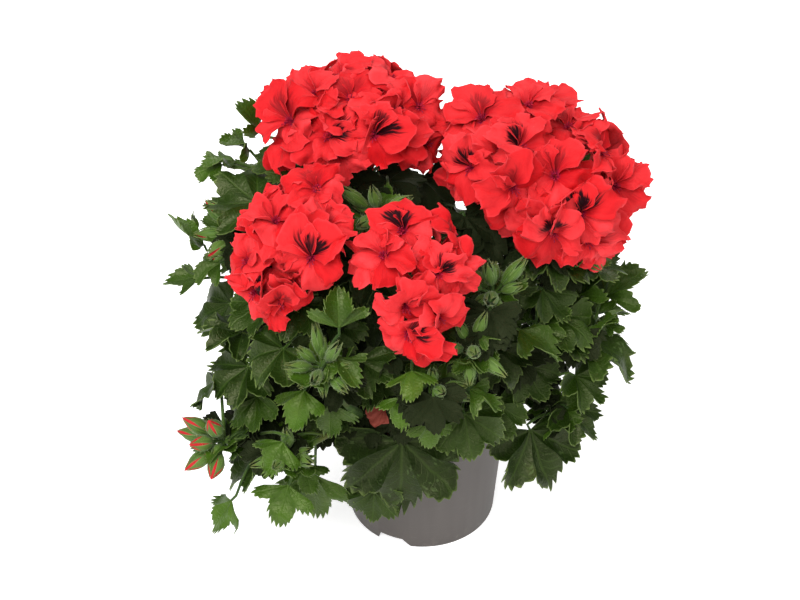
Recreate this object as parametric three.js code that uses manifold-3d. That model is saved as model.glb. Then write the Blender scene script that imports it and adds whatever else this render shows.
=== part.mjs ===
// A regal pelargonium in its nursery pot: pot, soil, twelve leafy stems and seven flower heads.
// Millimetres, +Z up. The origin is the middle of the pot's foot, on the surface it stands on.
// The plant's best side looks along -Y.

import * as THREE from 'three';
import { mergeVertices } from 'three/addons/utils/BufferGeometryUtils.js';
import Module from 'manifold-3d';

const wasm = await Module();
wasm.setup();

// Driving dimensions of the pot
const RIM_RADIUS = 60;
const POT_HEIGHT = 94;
const FOOT_RADIUS = 49;
const WALL = 1.8;
const LIP_DEPTH = 13;
const LIP_STEP = 4.6;
const POT_SIDES = 24;
const PAD_RADIUS = 20;
const BOTTOM_LIFT = 5;
const FOOT_RING = 1.8;
const DRAIN_RADIUS = 3.5;
const DRAIN_CIRCLE = 36;
const DRAIN_COUNT = 4;
const NOTCH_HEIGHT = 6;
const NOTCH_AZIMUTHS = [247, 7, 127];

// Driving dimensions of the plant
const SOIL_TOP = 84;
const SOIL_HUMMOCK = 1.5;
const ROOT_DEPTH = 24;
const GAP = 0.35;
const LEAF_THICKNESS = 1;
const PETAL_THICKNESS = 0.9;
const SHOOT_FOOT_RADIUS = 4;
const SHOOT_TOP_RADIUS = 2.6;
const FORK_RADIUS = 2;
const FINEST_EDGE = 0.02;
const SAME_POINT = 0.001;

// A leaf's stalk: it leaves its stem above the pot's rim, arches over, and ends in a short knee
// just behind the blade
const STALK_RADIUS = 1.35;
const STALK_SPACING = 8;
const STALK_CLIMB = 0.5;
const STALK_PULL = 0.55;
const STALK_ARCH = 0.22;
const ABOVE_RIM = 6;
const RIM_ARCH = 30;
const KNEE_BACK = 4;
const KNEE_DROP = 1;
const SPLICE = 0.05;

// Flowers: petals as long as PETAL_LENGTH round a narrow throat, on a knob at the head's hub
const PETAL_LENGTH = 24;
const PETAL_SPREAD = 72;
const PETAL_CLEARANCE = 0.3;
const PETAL_RUFFLE = 0.07;
const THROAT_RADIUS = 2.6;
const LEAN_TO_LIGHT = 0.6;
const HEAD_KNOB_RADIUS = 12;

// Buds: spokes round the knob at an umbel's hub, each turned on from the last by the golden angle
const BUD_KNOB_RADIUS = 4.4;
const BUD_RADIUS = 4.2;
const BUD_SPREAD = 62;
const GOLDEN_ANGLE = 2.4;

// The two leaf forms: broad kidney-shaped old leaves and deeply cut wedge-shaped young ones
const LEAF_FORMS = {
  fan: { spread: 116, lobes: 5, facets: 10, cut: 0.18, taper: 0.16, reach: 0.56, middle: 0.3,
    cup: 0.12, droop: 0.16, pleat: 0.15 },
  wedge: { spread: 72, lobes: 2, facets: 8, cut: 0.42, taper: 0.1, reach: 0.64, middle: 0.5,
    cup: 0.08, droop: 0.18, pleat: 0.16 },
};

// The five petals of a flower: two upper ones that stand up and three lower ones
const PETALS = [
  { middle: 37, rise: 0.34, length: 1.04 },
  { middle: 109, rise: 0.2, length: 0.96 },
  { middle: 180, rise: 0.1, length: 1 },
  { middle: 251, rise: 0.2, length: 0.96 },
  { middle: 323, rise: 0.34, length: 1.04 },
];

// The three corners of a petal's edge: where across the petal, and how far out
const PETAL_CORNERS = [
  { share: -0.5, length: 0.7 },
  { share: -0.22, length: 1 },
  { share: 0.2, length: 1 },
];

// Leafy stems. foot is where the stem leaves the soil, bend pulls its curve, tip is its end.
// A fork leaves the stem at a share of its length, with a bend and a tip of its own.
// A leaf is its middle, its width, its tip's azimuth and pitch, its roll and its form.
// An umbel of buds is its hub, its azimuth and pitch, the number of buds and their length.
const STEMS = [
  {
    name: 'stem_front', foot: [2, -17], bend: [-6, -52, 130], tip: [-8, -66, 214],
    forks: [
      [1, [-8, -66, 232], [-6, -68, 246]],
      [0.75, [0, -80, 172], [5, -94, 180]],
    ],
    leaves: [
      [-14, -75, 100, 84, 268, -62, 0, 'fan'],
      [-32, -78, 70, 38, 252, -70, 0, 'fan'],
      [3, -104, 150, 28, 275, -72, 0, 'wedge'],
      [-14, -108, 172, 30, 256, -45, 0, 'wedge'],
      [-8, -108, 194, 30, 270, -16, 0, 'wedge'],
      [-30, -66, 164, 50, 255, -34, 0, 'fan'],
      [4, -62, 164, 42, 272, -34, 0, 'fan'],
      [-34, -44, 226, 48, 250, -20, 0, 'fan'],
    ],
    umbels: [[5, -94, 180, 280, 8, 3, 13]],
  },
  {
    name: 'stem_front_left', foot: [-10, -26], bend: [-44, -64, 120], tip: [-60, -86, 184],
    forks: [
      [1, [-60, -92, 190], [-61, -95, 196]],
      [0.5, [-64, -80, 124], [-83, -88, 120]],
    ],
    leaves: [
      [-88, -108, 96, 40, 242, -48, 0, 'wedge'],
      [-73, -82, 94, 30, 290, -30, 0, 'wedge'],
      [-70, -70, 66, 50, 262, -74, 0, 'wedge'],
      [-77, -96, 164, 38, 244, -38, 0, 'wedge'],
      [-58, -93, 152, 34, 264, -64, 0, 'wedge'],
      [-51, -92, 238, 36, 95, 66, 0, 'wedge'],
      [-46, -106, 204, 32, 308, -12, 0, 'wedge'],
      [-38, -86, 186, 42, 280, -22, 0, 'fan'],
      [-64, -58, 132, 50, 250, -34, 0, 'fan'],
    ],
    umbels: [
      [-61, -95, 196, 262, 42, 5, 16],
      [-83, -88, 120, 240, 42, 4, 15],
    ],
  },
  {
    name: 'stem_front_right', foot: [13, -19], bend: [30, -50, 120], tip: [34, -66, 200],
    forks: [
      [1, [38, -62, 214], [41, -60, 224]],
      [0.8, [28, -76, 196], [27, -86, 204]],
    ],
    leaves: [
      [26, -88, 142, 50, 286, -44, 0, 'fan'],
      [46, -72, 138, 42, 300, -30, 0, 'fan'],
      [36, -100, 178, 32, 342, -16, 10, 'wedge'],
      [38, -90, 218, 24, 350, 5, 0, 'wedge'],
      [70, -66, 192, 46, 330, -14, 14, 'wedge'],
      [46, -58, 172, 50, 310, -34, 0, 'fan'],
      [46, -34, 212, 52, 296, -24, 0, 'fan'],
      [29, -54, 128, 44, 286, -38, 0, 'fan'],
    ],
    umbels: [
      [41, -60, 224, 270, 65, 4, 15],
      [27, -86, 204, 300, 24, 3, 14],
    ],
  },
  {
    name: 'stem_left_front', foot: [-16, -12], bend: [-66, -34, 130], tip: [-80, -46, 214],
    forks: [[1, [-80, -48, 232], [-79, -50, 247]]],
    leaves: [
      [-120, -42, 182, 46, 172, 12, 0, 'fan'],
      [-115, -66, 166, 50, 202, -28, 10, 'fan'],
      [-90, -82, 192, 46, 226, -26, 0, 'fan'],
      [-78, -62, 212, 46, 240, -22, 0, 'fan'],
      [-60, -53, 184, 48, 250, -28, 0, 'fan'],
      [-104, -44, 200, 46, 205, -20, 0, 'fan'],
      [-50, -42, 214, 50, 262, -24, 0, 'fan'],
    ],
    umbels: [],
  },
  {
    name: 'stem_right_front', foot: [20, -9], bend: [50, -26, 122], tip: [70, -34, 180],
    forks: [[0.55, [70, -34, 118], [84, -40, 112]]],
    leaves: [
      [72, -60, 100, 70, 306, -52, 0, 'fan'],
      [98, -42, 110, 46, 328, -32, 0, 'fan'],
      [102, -36, 133, 44, 332, -28, 0, 'fan'],
      [78, -26, 194, 44, 318, -30, 0, 'fan'],
      [66, -46, 150, 50, 312, -30, 0, 'fan'],
      [90, -26, 174, 48, 334, -24, 0, 'fan'],
    ],
    umbels: [],
  },
  {
    name: 'stem_low_left', foot: [-23, -22], bend: [-64, -46, 118], tip: [-112, -76, 120],
    forks: [[1, [-118, -78, 121], [-124, -80, 124]]],
    leaves: [
      [-134, -56, 146, 40, 194, -50, -30, 'fan'],
      [-108, -74, 148, 42, 212, -38, 0, 'fan'],
      [-92, -107, 135, 34, 230, -34, 0, 'wedge'],
      [-109, -76, 104, 54, 202, -34, 0, 'fan'],
      [-127, -99, 79, 36, 208, -50, 0, 'wedge'],
      [-94, -30, 110, 62, 190, -34, 0, 'fan'],
    ],
    umbels: [[-124, -80, 124, 205, 22, 6, 17]],
  },
  {
    name: 'stem_left', foot: [-19, -2], bend: [-60, -2, 130], tip: [-104, -8, 214],
    forks: [[1, [-112, -10, 226], [-114, -12, 234]]],
    leaves: [
      [-92, 6, 244, 44, 160, 14, 0, 'fan'],
      [-112, -8, 254, 58, 186, 4, 18, 'fan'],
      [-144, -4, 232, 44, 165, 56, -15, 'wedge'],
      [-151, -14, 201, 32, 182, 0, 0, 'wedge'],
      [-134, -22, 212, 30, 200, -25, 0, 'wedge'],
      [-106, -27, 218, 40, 210, -26, 0, 'fan'],
      [-110, 34, 182, 54, 150, -12, 0, 'fan'],
      [-130, -6, 170, 50, 184, -26, 0, 'fan'],
      [-112, 6, 140, 60, 176, -30, 0, 'fan'],
    ],
    umbels: [[-114, -12, 234, 195, 5, 4, 14]],
  },
  {
    name: 'stem_right', foot: [20, 4], bend: [58, 4, 150], tip: [72, 8, 210],
    forks: [
      [1, [60, 12, 236], [54, 16, 260]],
      [0.95, [84, 8, 224], [90, 10, 248]],
      [0.5, [84, 0, 140], [110, -4, 160]],
      [0.8, [84, -2, 200], [98, -4, 216]],
    ],
    leaves: [
      [120, -14, 145, 62, 350, -16, 10, 'wedge'],
      [98, -22, 160, 44, 335, -14, 0, 'fan'],
      [128, 14, 176, 46, 18, 36, -10, 'wedge'],
      [106, 6, 184, 42, 30, 46, 0, 'wedge'],
      [124, 6, 158, 26, 5, 0, 0, 'wedge'],
      [84, -14, 214, 54, 328, -18, 0, 'fan'],
      [112, 6, 197, 44, 352, -8, 0, 'fan'],
      [54, 4, 226, 50, 290, -14, 0, 'fan'],
      [112, 22, 128, 60, 8, -32, 0, 'fan'],
    ],
    umbels: [[98, -4, 216, 350, 10, 2, 12]],
  },
  {
    name: 'stem_left_back', foot: [-14, 10], bend: [-38, 22, 150], tip: [-44, 28, 212],
    forks: [
      [1, [-44, 30, 240], [-42, 30, 268]],
      [0.55, [-70, 26, 190], [-98, 26, 250]],
    ],
    leaves: [
      [-106, 35, 288, 36, 170, 62, 0, 'wedge'],
      [-115, 28, 274, 32, 195, 45, 0, 'wedge'],
      [-126, 26, 264, 30, 185, 20, -20, 'wedge'],
      [-134, 25, 257, 28, 190, -8, 0, 'wedge'],
      [-90, 18, 266, 40, 198, 4, 0, 'fan'],
      [-84, 62, 238, 52, 130, 14, 0, 'fan'],
      [-100, 52, 212, 50, 150, -6, 0, 'fan'],
    ],
    umbels: [],
  },
  {
    name: 'stem_middle', foot: [0, 2], bend: [-4, -4, 150], tip: [-20, -18, 240],
    forks: [[1, [-24, -22, 250], [-28, -26, 258]]],
    leaves: [
      [26, 10, 222, 52, 278, -14, 0, 'fan'],
      [-2, 40, 224, 44, 88, 4, 0, 'fan'],
      [4, -22, 228, 50, 275, -22, 0, 'fan'],
      [-44, -4, 240, 50, 240, -10, 0, 'fan'],
      [14, -40, 176, 54, 285, -34, 0, 'fan'],
      [-26, -30, 186, 54, 245, -30, 0, 'fan'],
    ],
    umbels: [[-28, -26, 258, 262, 52, 4, 15]],
  },
  {
    name: 'stem_back_right', foot: [10, 20], bend: [44, 46, 130], tip: [64, 70, 168],
    forks: [[1, [70, 75, 180], [72, 78, 194]]],
    leaves: [
      [112, 54, 152, 60, 25, -24, 0, 'fan'],
      [94, 94, 150, 58, 48, -28, 0, 'fan'],
      [58, 112, 142, 60, 72, -34, 0, 'fan'],
      [104, 76, 108, 64, 38, -38, 0, 'fan'],
      [52, 92, 104, 62, 62, -40, 0, 'fan'],
      [94, 50, 204, 48, 26, 4, 0, 'fan'],
      [30, 66, 186, 50, 100, 2, 0, 'fan'],
      [16, 112, 122, 60, 82, -38, 0, 'fan'],
    ],
    umbels: [],
  },
  {
    name: 'stem_back_left', foot: [-10, 22], bend: [-34, 56, 126], tip: [-40, 80, 172],
    forks: [[1, [-42, 86, 184], [-42, 88, 198]]],
    leaves: [
      [-108, 84, 164, 54, 144, -12, 0, 'fan'],
      [-98, 92, 134, 62, 134, -30, 0, 'fan'],
      [-54, 122, 142, 58, 112, -28, 0, 'fan'],
      [-10, 116, 154, 56, 90, -24, 0, 'fan'],
      [-114, 58, 112, 64, 158, -36, 0, 'fan'],
      [-30, 104, 98, 62, 104, -40, 0, 'fan'],
      [-86, 66, 206, 46, 144, 8, 0, 'fan'],
      [0, 84, 192, 46, 70, 6, 0, 'fan'],
      [-72, 96, 100, 60, 126, -40, 0, 'fan'],
    ],
    umbels: [],
  },
];

// Flower heads. hub is where the flower stalk ends, and light is the azimuth and pitch that its
// flowers lean towards. Each row is the throat of one flower, the foremost first.
const HEADS = [
  {
    name: 'head_upper_left', hub: [-42, 30, 268], light: [265, 48],
    flowers: [
      [-30, -4, 301], [-57, 1, 295], [-79, 13, 298], [-64, 25, 310], [-44, 17, 310],
      [-20, 15, 304], [-4, 22, 303], [-2, 8, 286], [-23, 39, 309], [-50, 44, 309],
      [-76, 41, 297], [-35, 63, 295], [-61, 60, 288],
    ],
  },
  {
    name: 'head_upper_right', hub: [54, 16, 260], light: [272, 45],
    flowers: [
      [51, -24, 278], [29, -15, 285], [35, 12, 299], [55, -6, 292], [27, 1, 269],
      [62, 24, 300], [39, 39, 287], [68, 44, 283],
    ],
  },
  {
    name: 'head_right', hub: [90, 10, 248], light: [290, 40],
    flowers: [
      [78, -16, 278], [76, -30, 251], [94, -23, 258], [87, 20, 287], [103, 4, 280],
      [114, 2, 260], [98, -21, 237], [108, 28, 266], [92, 44, 264],
    ],
  },
  {
    name: 'head_left', hub: [-79, -50, 247], light: [262, 42],
    flowers: [
      [-66, -81, 268], [-58, -66, 276], [-86, -83, 241], [-102, -66, 255], [-99, -76, 239],
      [-88, -60, 276], [-63, -44, 288], [-95, -39, 269],
    ],
  },
  {
    name: 'head_centre', hub: [-6, -68, 246], light: [272, 40],
    flowers: [
      [-13, -101, 250], [7, -91, 265], [-10, -104, 231], [5, -101, 242], [-12, -73, 280],
      [-23, -84, 270], [12, -69, 270],
    ],
  },
  {
    name: 'head_back_left', hub: [-42, 88, 198], light: [100, 45],
    flowers: [
      [-30, 112, 214], [-54, 116, 204], [-68, 96, 212], [-46, 86, 230], [-22, 92, 222],
    ],
  },
  {
    name: 'head_back_right', hub: [72, 78, 194], light: [70, 45],
    flowers: [
      [84, 102, 208], [62, 108, 202], [98, 84, 206], [72, 80, 226], [50, 88, 212],
    ],
  },
];

const UP = new THREE.Vector3(0, 0, 1);
const point = (row) => new THREE.Vector3(row[0], row[1], row[2]);
const radians = THREE.MathUtils.degToRad;

// A repeatable draw between low and high, worked out from its own number alone
function vary(number, low, high) {
  let state = (number * 7919 + 17) % 2147483647;
  for (let round = 0; round < 3; round += 1) {
    state = (state * 48271) % 2147483647;
  }
  return low + (high - low) * (state / 2147483647);
}

// A direction from its azimuth, counted from +X towards +Y, and its pitch above the level
function heading(azimuth, pitch) {
  const level = Math.cos(radians(pitch));
  return new THREE.Vector3(
    level * Math.cos(radians(azimuth)),
    level * Math.sin(radians(azimuth)),
    Math.sin(radians(pitch)),
  );
}

// A closed solid from shared vertices and triangles, turned outwards if it was inside out
function solidFromMesh(positions, triangles) {
  const build = (faces) => new wasm.Manifold(new wasm.Mesh({
    numProp: 3,
    vertProperties: new Float32Array(positions),
    triVerts: new Uint32Array(faces),
  }));
  const solid = build(triangles);
  if (solid.volume() > 0) {
    return solid;
  }
  const turned = [];
  for (let i = 0; i < triangles.length; i += 3) {
    turned.push(triangles[i], triangles[i + 2], triangles[i + 1]);
  }
  return build(turned);
}

function solidFromGeometry(geometry) {
  const plain = geometry.index ? geometry.toNonIndexed() : geometry.clone();
  plain.deleteAttribute('normal');
  plain.deleteAttribute('uv');
  const merged = mergeVertices(plain, SAME_POINT);
  return solidFromMesh(merged.attributes.position.array, merged.index.array);
}

function geometryFromSolid(solid) {
  const mesh = solid.getMesh();
  const geometry = new THREE.BufferGeometry();
  const positions = new Float32Array(mesh.numVert * 3);
  for (let i = 0; i < mesh.numVert; i += 1) {
    positions.set(mesh.vertProperties.subarray(i * mesh.numProp, i * mesh.numProp + 3), i * 3);
  }
  geometry.setAttribute('position', new THREE.BufferAttribute(positions, 3));
  geometry.setIndex(new THREE.BufferAttribute(mesh.triVerts, 1));
  geometry.computeVertexNormals();
  return geometry;
}

const join = (solids) => wasm.Manifold.union(solids);

// The main body of a joined solid: its shortest edges are merged, scraps that a cut left loose are
// dropped, and so are the inner skins of hollows that nothing reaches
function mainBody(solid) {
  let bodies = [solid.simplify(FINEST_EDGE)];
  do {
    const main = bodies.reduce((best, body) => (body.volume() > best.volume() ? body : best));
    bodies = solidFromGeometry(geometryFromSolid(main)).decompose();
  } while (bodies.length > 1);
  return bodies[0];
}

// A tapered rod through a list of points, with a radius at each. A last radius of 0 is a point.
function rod(points, radii, sides) {
  const along = points.map((_, i) => {
    const before = points[Math.max(i - 1, 0)];
    const after = points[Math.min(i + 1, points.length - 1)];
    return after.clone().sub(before).normalize();
  });
  let side = new THREE.Vector3(1, 0, 0);
  if (Math.abs(along[0].x) > 0.8) {
    side = new THREE.Vector3(0, 1, 0);
  }
  const positions = [];
  const pointed = radii[radii.length - 1] === 0;
  points.forEach((centre, i) => {
    side = side.clone().addScaledVector(along[i], -side.dot(along[i])).normalize();
    const other = along[i].clone().cross(side);
    const count = pointed && i === points.length - 1 ? 1 : sides;
    for (let k = 0; k < count; k += 1) {
      const angle = (2 * Math.PI * k) / sides;
      const spot = centre.clone()
        .addScaledVector(side, radii[i] * Math.cos(angle))
        .addScaledVector(other, radii[i] * Math.sin(angle));
      positions.push(spot.x, spot.y, spot.z);
    }
  });
  const triangles = [];
  for (let k = 1; k < sides - 1; k += 1) {
    triangles.push(0, k + 1, k);
  }
  for (let i = 0; i < points.length - 1; i += 1) {
    const here = i * sides;
    const next = here + sides;
    for (let k = 0; k < sides; k += 1) {
      const k2 = (k + 1) % sides;
      if (pointed && i === points.length - 2) {
        triangles.push(here + k, here + k2, next);
      } else {
        triangles.push(here + k, here + k2, next + k2, here + k, next + k2, next + k);
      }
    }
  }
  if (!pointed) {
    const last = (points.length - 1) * sides;
    for (let k = 1; k < sides - 1; k += 1) {
      triangles.push(last, last + k, last + k + 1);
    }
  }
  return solidFromMesh(positions, triangles);
}

// Points on the curve from one point to another that a third one pulls
function curve(from, pull, to, steps) {
  return new THREE.QuadraticBezierCurve3(from, pull, to).getPoints(steps);
}

// A leaf's own axes: out along its midrib, across it, and up from its upper face
function leafAxes(azimuth, pitch, roll) {
  const out = heading(azimuth, pitch);
  const level = new THREE.Vector3(Math.sin(radians(azimuth)), -Math.cos(radians(azimuth)), 0);
  const upright = level.clone().cross(out);
  const across = level.clone().multiplyScalar(Math.cos(radians(roll)))
    .addScaledVector(upright, Math.sin(radians(roll)));
  return { out, across, up: across.clone().cross(out) };
}

// Where a leaf's blade meets its stalk, and how far it reaches from there
function leafRoot([x, y, z, width, azimuth, pitch, , kind]) {
  const form = LEAF_FORMS[kind];
  const reach = form.reach * width;
  const root = new THREE.Vector3(x, y, z)
    .addScaledVector(heading(azimuth, pitch), -form.middle * reach);
  return { root, reach };
}

// The edge of a leaf's upper face, from one side of the notch at its root to the other
function leafEdge(leaf, number, extra) {
  const form = LEAF_FORMS[leaf[7]];
  const { root, reach } = leafRoot(leaf);
  const { out, across, up } = leafAxes(leaf[4], leaf[5], leaf[6]);
  const droop = form.droop * vary(number, 0.6, 1.4);
  const skew = vary(number + 300, -0.1, 0.1);
  return Array.from({ length: form.facets + 1 }, (_, i) => {
    const share = (2 * i) / form.facets - 1;
    const angle = radians(form.spread) * share;
    const lobe = Math.abs(Math.cos((Math.PI * form.lobes * share) / 2));
    const radius = reach * (1 - form.taper * share * share) * (1 - form.cut * (1 - lobe));
    const lift = form.cup - droop * Math.max(0, Math.cos(angle)) ** 2
      + form.pleat * (0.5 - lobe) + skew * Math.sin(angle);
    return root.clone()
      .addScaledVector(out, (radius + extra) * Math.cos(angle))
      .addScaledVector(across, (radius + extra) * Math.sin(angle))
      .addScaledVector(up, reach * lift + extra);
  });
}

// Each stalk leaves its stem where it climbs about half as far as it runs out, clear of the stalks
// that are there already
function placeStalks(row, axes) {
  const nearHub = (spot) => HEADS.some((head) => (
    point(head.hub).distanceTo(spot) < HEAD_KNOB_RADIUS + STALK_SPACING
  ));
  const places = axes.flatMap((axis) => axis.slice(1).flatMap((spot, i) => (
    [0.25, 0.5, 0.75, 1].map((share) => axis[i].clone().lerp(spot, share))
  ))).filter((spot) => spot.z > POT_HEIGHT + ABOVE_RIM && !nearHub(spot));
  const taken = [];
  return row.leaves.map((leaf) => {
    const { root } = leafRoot(leaf);
    const cost = (spot) => {
      const run = Math.hypot(root.x - spot.x, root.y - spot.y);
      const crowded = taken.some((other) => other.distanceTo(spot) < STALK_SPACING);
      const effort = Math.abs(root.z - spot.z - STALK_CLIMB * run) + 0.3 * root.distanceTo(spot);
      return crowded ? effort + 1000 : effort;
    };
    const best = places.reduce((a, b) => (cost(b) < cost(a) ? b : a));
    taken.push(best);
    return best;
  });
}

// A leaf and its three-sided stalk in one closed skin. The stalk's last ring is the blade's root:
// one point on the upper face and two on the lower one.
function leafSolid(leaf, start, number, extra, withBlade) {
  const { root } = leafRoot(leaf);
  const { out, across, up } = leafAxes(leaf[4], leaf[5], leaf[6]);
  const knee = root.clone().addScaledVector(out, -KNEE_BACK).addScaledVector(up, -KNEE_DROP);
  const pull = start.clone().lerp(knee, STALK_PULL)
    .addScaledVector(UP, STALK_ARCH * start.distanceTo(knee));
  if (knee.z < POT_HEIGHT + ABOVE_RIM) {
    pull.z = Math.max(pull.z, POT_HEIGHT + RIM_ARCH);
  }
  const path = [...curve(start, pull, knee, 2), root];
  const thick = LEAF_THICKNESS + 2 * extra;
  const wide = STALK_RADIUS + extra;
  const ring = (centre, along) => {
    const side = across.clone().addScaledVector(along, -across.dot(along)).normalize();
    const top = side.clone().cross(along);
    return [
      centre.clone().addScaledVector(top, 1.2 * wide),
      centre.clone().addScaledVector(side, -wide).addScaledVector(top, -0.6 * wide),
      centre.clone().addScaledVector(side, wide).addScaledVector(top, -0.6 * wide),
    ];
  };
  const rings = path.slice(0, 3).map((spot, i) => (
    ring(spot, path[i + 1].clone().sub(path[Math.max(i - 1, 0)]).normalize())
  ));
  const under = root.clone().addScaledVector(up, extra - 1.4 * thick);
  const rootTop = root.clone().addScaledVector(up, extra);
  rings.push([
    rootTop,
    under.clone().addScaledVector(across, -wide),
    under.clone().addScaledVector(across, wide),
  ]);
  const points = rings.flat();
  const triangles = [0, 2, 1];
  for (let i = 0; i < 3; i += 1) {
    for (let k = 0; k < 3; k += 1) {
      const [here, beside] = [3 * i + k, 3 * i + ((k + 1) % 3)];
      triangles.push(here, beside, beside + 3, here, beside + 3, here + 3);
    }
  }
  const [crown, left, right] = [9, 10, 11];
  if (!withBlade) {
    triangles.push(crown, left, right);
    return solidFromMesh(points.flatMap((spot) => [spot.x, spot.y, spot.z]), triangles);
  }
  const edge = leafEdge(leaf, number, extra);
  const below = edge.map((spot) => spot.clone().addScaledVector(up, -thick));
  const first = points.length;
  const last = first + edge.length - 1;
  const drop = edge.length;
  const middle = first + Math.floor(edge.length / 2);
  for (let i = first; i < last; i += 1) {
    triangles.push(crown, i, i + 1, i, i + drop, i + 1 + drop, i, i + 1 + drop, i + 1);
    triangles.push(i < middle ? left : right, i + 1 + drop, i + drop);
  }
  triangles.push(left, right, middle + drop);
  triangles.push(crown, left, first, left, first + drop, first);
  triangles.push(crown, last, right, right, last, last + drop);
  const all = [...points, ...edge, ...below];
  return solidFromMesh(all.flatMap((spot) => [spot.x, spot.y, spot.z]), triangles);
}

// The pointed buds of an umbel, opened out from its hub like the spokes of a small umbrella
function budUmbel([x, y, z, azimuth, pitch, count, length], number, extra) {
  const hub = new THREE.Vector3(x, y, z);
  const middle = heading(azimuth, pitch);
  const across = heading(azimuth + 90, 0);
  const other = middle.clone().cross(across);
  const knob = new THREE.IcosahedronGeometry(BUD_KNOB_RADIUS + extra, 0);
  knob.translate(x, y, z);
  const buds = Array.from({ length: count }, (_, k) => {
    const turn = GOLDEN_ANGLE * k + vary(number, 0, 6);
    const tilt = radians(BUD_SPREAD) * Math.sqrt((k + 0.4) / count);
    const size = length * vary(number + k, 0.85, 1.1);
    const toward = middle.clone().multiplyScalar(Math.cos(tilt))
      .addScaledVector(across, Math.sin(tilt) * Math.cos(turn))
      .addScaledVector(other, Math.sin(tilt) * Math.sin(turn));
    const steps = [BUD_KNOB_RADIUS - 1.4, 0.6 * size, 1.05 * size, 1.75 * size + extra];
    const radii = [1.1 + extra, 1.3 + extra, BUD_RADIUS + extra, 0];
    return rod(steps.map((step) => hub.clone().addScaledVector(toward, step)), radii, 3);
  });
  return [solidFromGeometry(knob), ...buds];
}

// The curves of one leafy stem: the first rises out of the soil, and forks leave it
function stemAxes(row) {
  const foot = new THREE.Vector3(row.foot[0], row.foot[1], SOIL_TOP - ROOT_DEPTH);
  const collar = new THREE.Vector3(row.foot[0], row.foot[1], SOIL_TOP + 2);
  const main = new THREE.QuadraticBezierCurve3(collar, point(row.bend), point(row.tip));
  const axes = [[foot, ...curve(collar, point(row.bend), point(row.tip), 5)]];
  row.forks.forEach(([share, bend, tip]) => {
    axes.push(curve(main.getPoint(share), point(bend), point(tip), 3));
  });
  return axes;
}

function stemRods(stem, extra) {
  return stem.axes.map((axis, i) => {
    const radii = axis.map((_, k) => {
      const share = k / (axis.length - 1);
      return i === 0 ? THREE.MathUtils.lerp(SHOOT_FOOT_RADIUS, SHOOT_TOP_RADIUS, share)
        : FORK_RADIUS;
    });
    return rod(axis, radii.map((radius) => radius + extra), i === 0 ? 5 : 3);
  });
}

function stemUmbels(stem, extra) {
  return stem.umbels.flatMap((umbel, k) => budUmbel(umbel, stem.number * 50 + k * 10, extra));
}

function leafPart(stem, k, extra, withBlade) {
  return leafSolid(stem.leaves[k], stem.starts[k], stem.number * 20 + k, extra, withBlade);
}

// Everything round on a leafy stem: its shoots, its buds and its leaves' stalks
function stemTubes(stem, extra) {
  return [
    ...stemRods(stem, extra),
    ...stemUmbels(stem, extra),
    ...stem.leaves.map((_, k) => leafPart(stem, k, extra, false)),
  ];
}

// How far a petal may reach towards a spot before it meets the room of another flower. A flower
// that comes earlier in the tables spreads over those that come after it.
function petalRoom(flower, spot) {
  const reach = spot.clone().sub(flower.throat);
  return flowers.reduce((room, other) => {
    const between = other.throat.clone().sub(flower.throat);
    const distance = between.length();
    if (other === flower || distance > 4 * PETAL_LENGTH) {
      return room;
    }
    const limit = distance * (other.rank > flower.rank ? 0.6 : 0.4) - PETAL_CLEARANCE;
    const needed = reach.dot(between) / distance;
    return needed > limit ? Math.min(room, limit / needed) : room;
  }, 1);
}

// One flower: five ruffled petals that open from the throat as a shallow funnel, and below them
// its narrow tube, which runs back to the hub
function flowerSolid(flower, extra) {
  const { throat, hub, rank } = flower;
  const facing = throat.clone().sub(hub).normalize()
    .addScaledVector(flower.light, LEAN_TO_LIGHT).normalize();
  const reference = Math.abs(facing.z) > 0.95 ? new THREE.Vector3(0, 1, 0) : UP;
  const upright = reference.clone().addScaledVector(facing, -reference.dot(facing)).normalize();
  const sideways = upright.clone().cross(facing);
  const size = PETAL_LENGTH * vary(rank, 0.9, 1.08);
  const lean = vary(rank + 500, -22, 22);
  const around = (centre, angle, radius) => centre.clone()
    .addScaledVector(upright, radius * Math.cos(radians(lean + angle)))
    .addScaledVector(sideways, radius * Math.sin(radians(lean + angle)));
  const down = facing.clone().multiplyScalar(-(PETAL_THICKNESS + 2 * extra));
  const top = [throat.clone().addScaledVector(facing, extra)];
  const neck = [];
  PETALS.forEach((petal, k) => {
    PETAL_CORNERS.forEach((spot, i) => {
      const ruffle = vary(rank * 20 + 3 * k + i, -PETAL_RUFFLE, PETAL_RUFFLE);
      const tip = around(throat, petal.middle + PETAL_SPREAD * spot.share,
        size * petal.length * spot.length).addScaledVector(facing, size * (petal.rise + ruffle));
      const room = petalRoom(flower, tip);
      top.push(throat.clone().lerp(tip, room).addScaledVector(facing, extra));
    });
    neck.push(around(throat.clone().addScaledVector(down, 1.6), petal.middle,
      THROAT_RADIUS + extra));
  });
  const below = top.slice(1).map((spot) => spot.clone().add(down));
  const points = [...top, ...below, ...neck, hub];
  const count = below.length;
  const perPetal = PETAL_CORNERS.length;
  const [lower, ring, foot] = [count + 1, 2 * count + 1, points.length - 1];
  const triangles = [];
  for (let i = 0; i < count; i += 1) {
    const next = (i + 1) % count;
    const petal = Math.floor(i / perPetal);
    triangles.push(0, 1 + i, 1 + next);
    triangles.push(1 + i, lower + i, lower + next, 1 + i, lower + next, 1 + next);
    triangles.push(ring + petal, lower + next, lower + i);
    if (i % perPetal === perPetal - 1) {
      const after = (petal + 1) % PETALS.length;
      triangles.push(ring + petal, ring + after, lower + next);
      triangles.push(ring + petal, foot, ring + after);
    }
  }
  return solidFromMesh(points.flatMap((spot) => [spot.x, spot.y, spot.z]), triangles);
}

// The knob at the hub of a head, where its flowers meet
function headKnob(head, extra) {
  const knob = new THREE.IcosahedronGeometry(HEAD_KNOB_RADIUS + extra, 0);
  knob.translate(...head.hub);
  return solidFromGeometry(knob);
}

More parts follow.
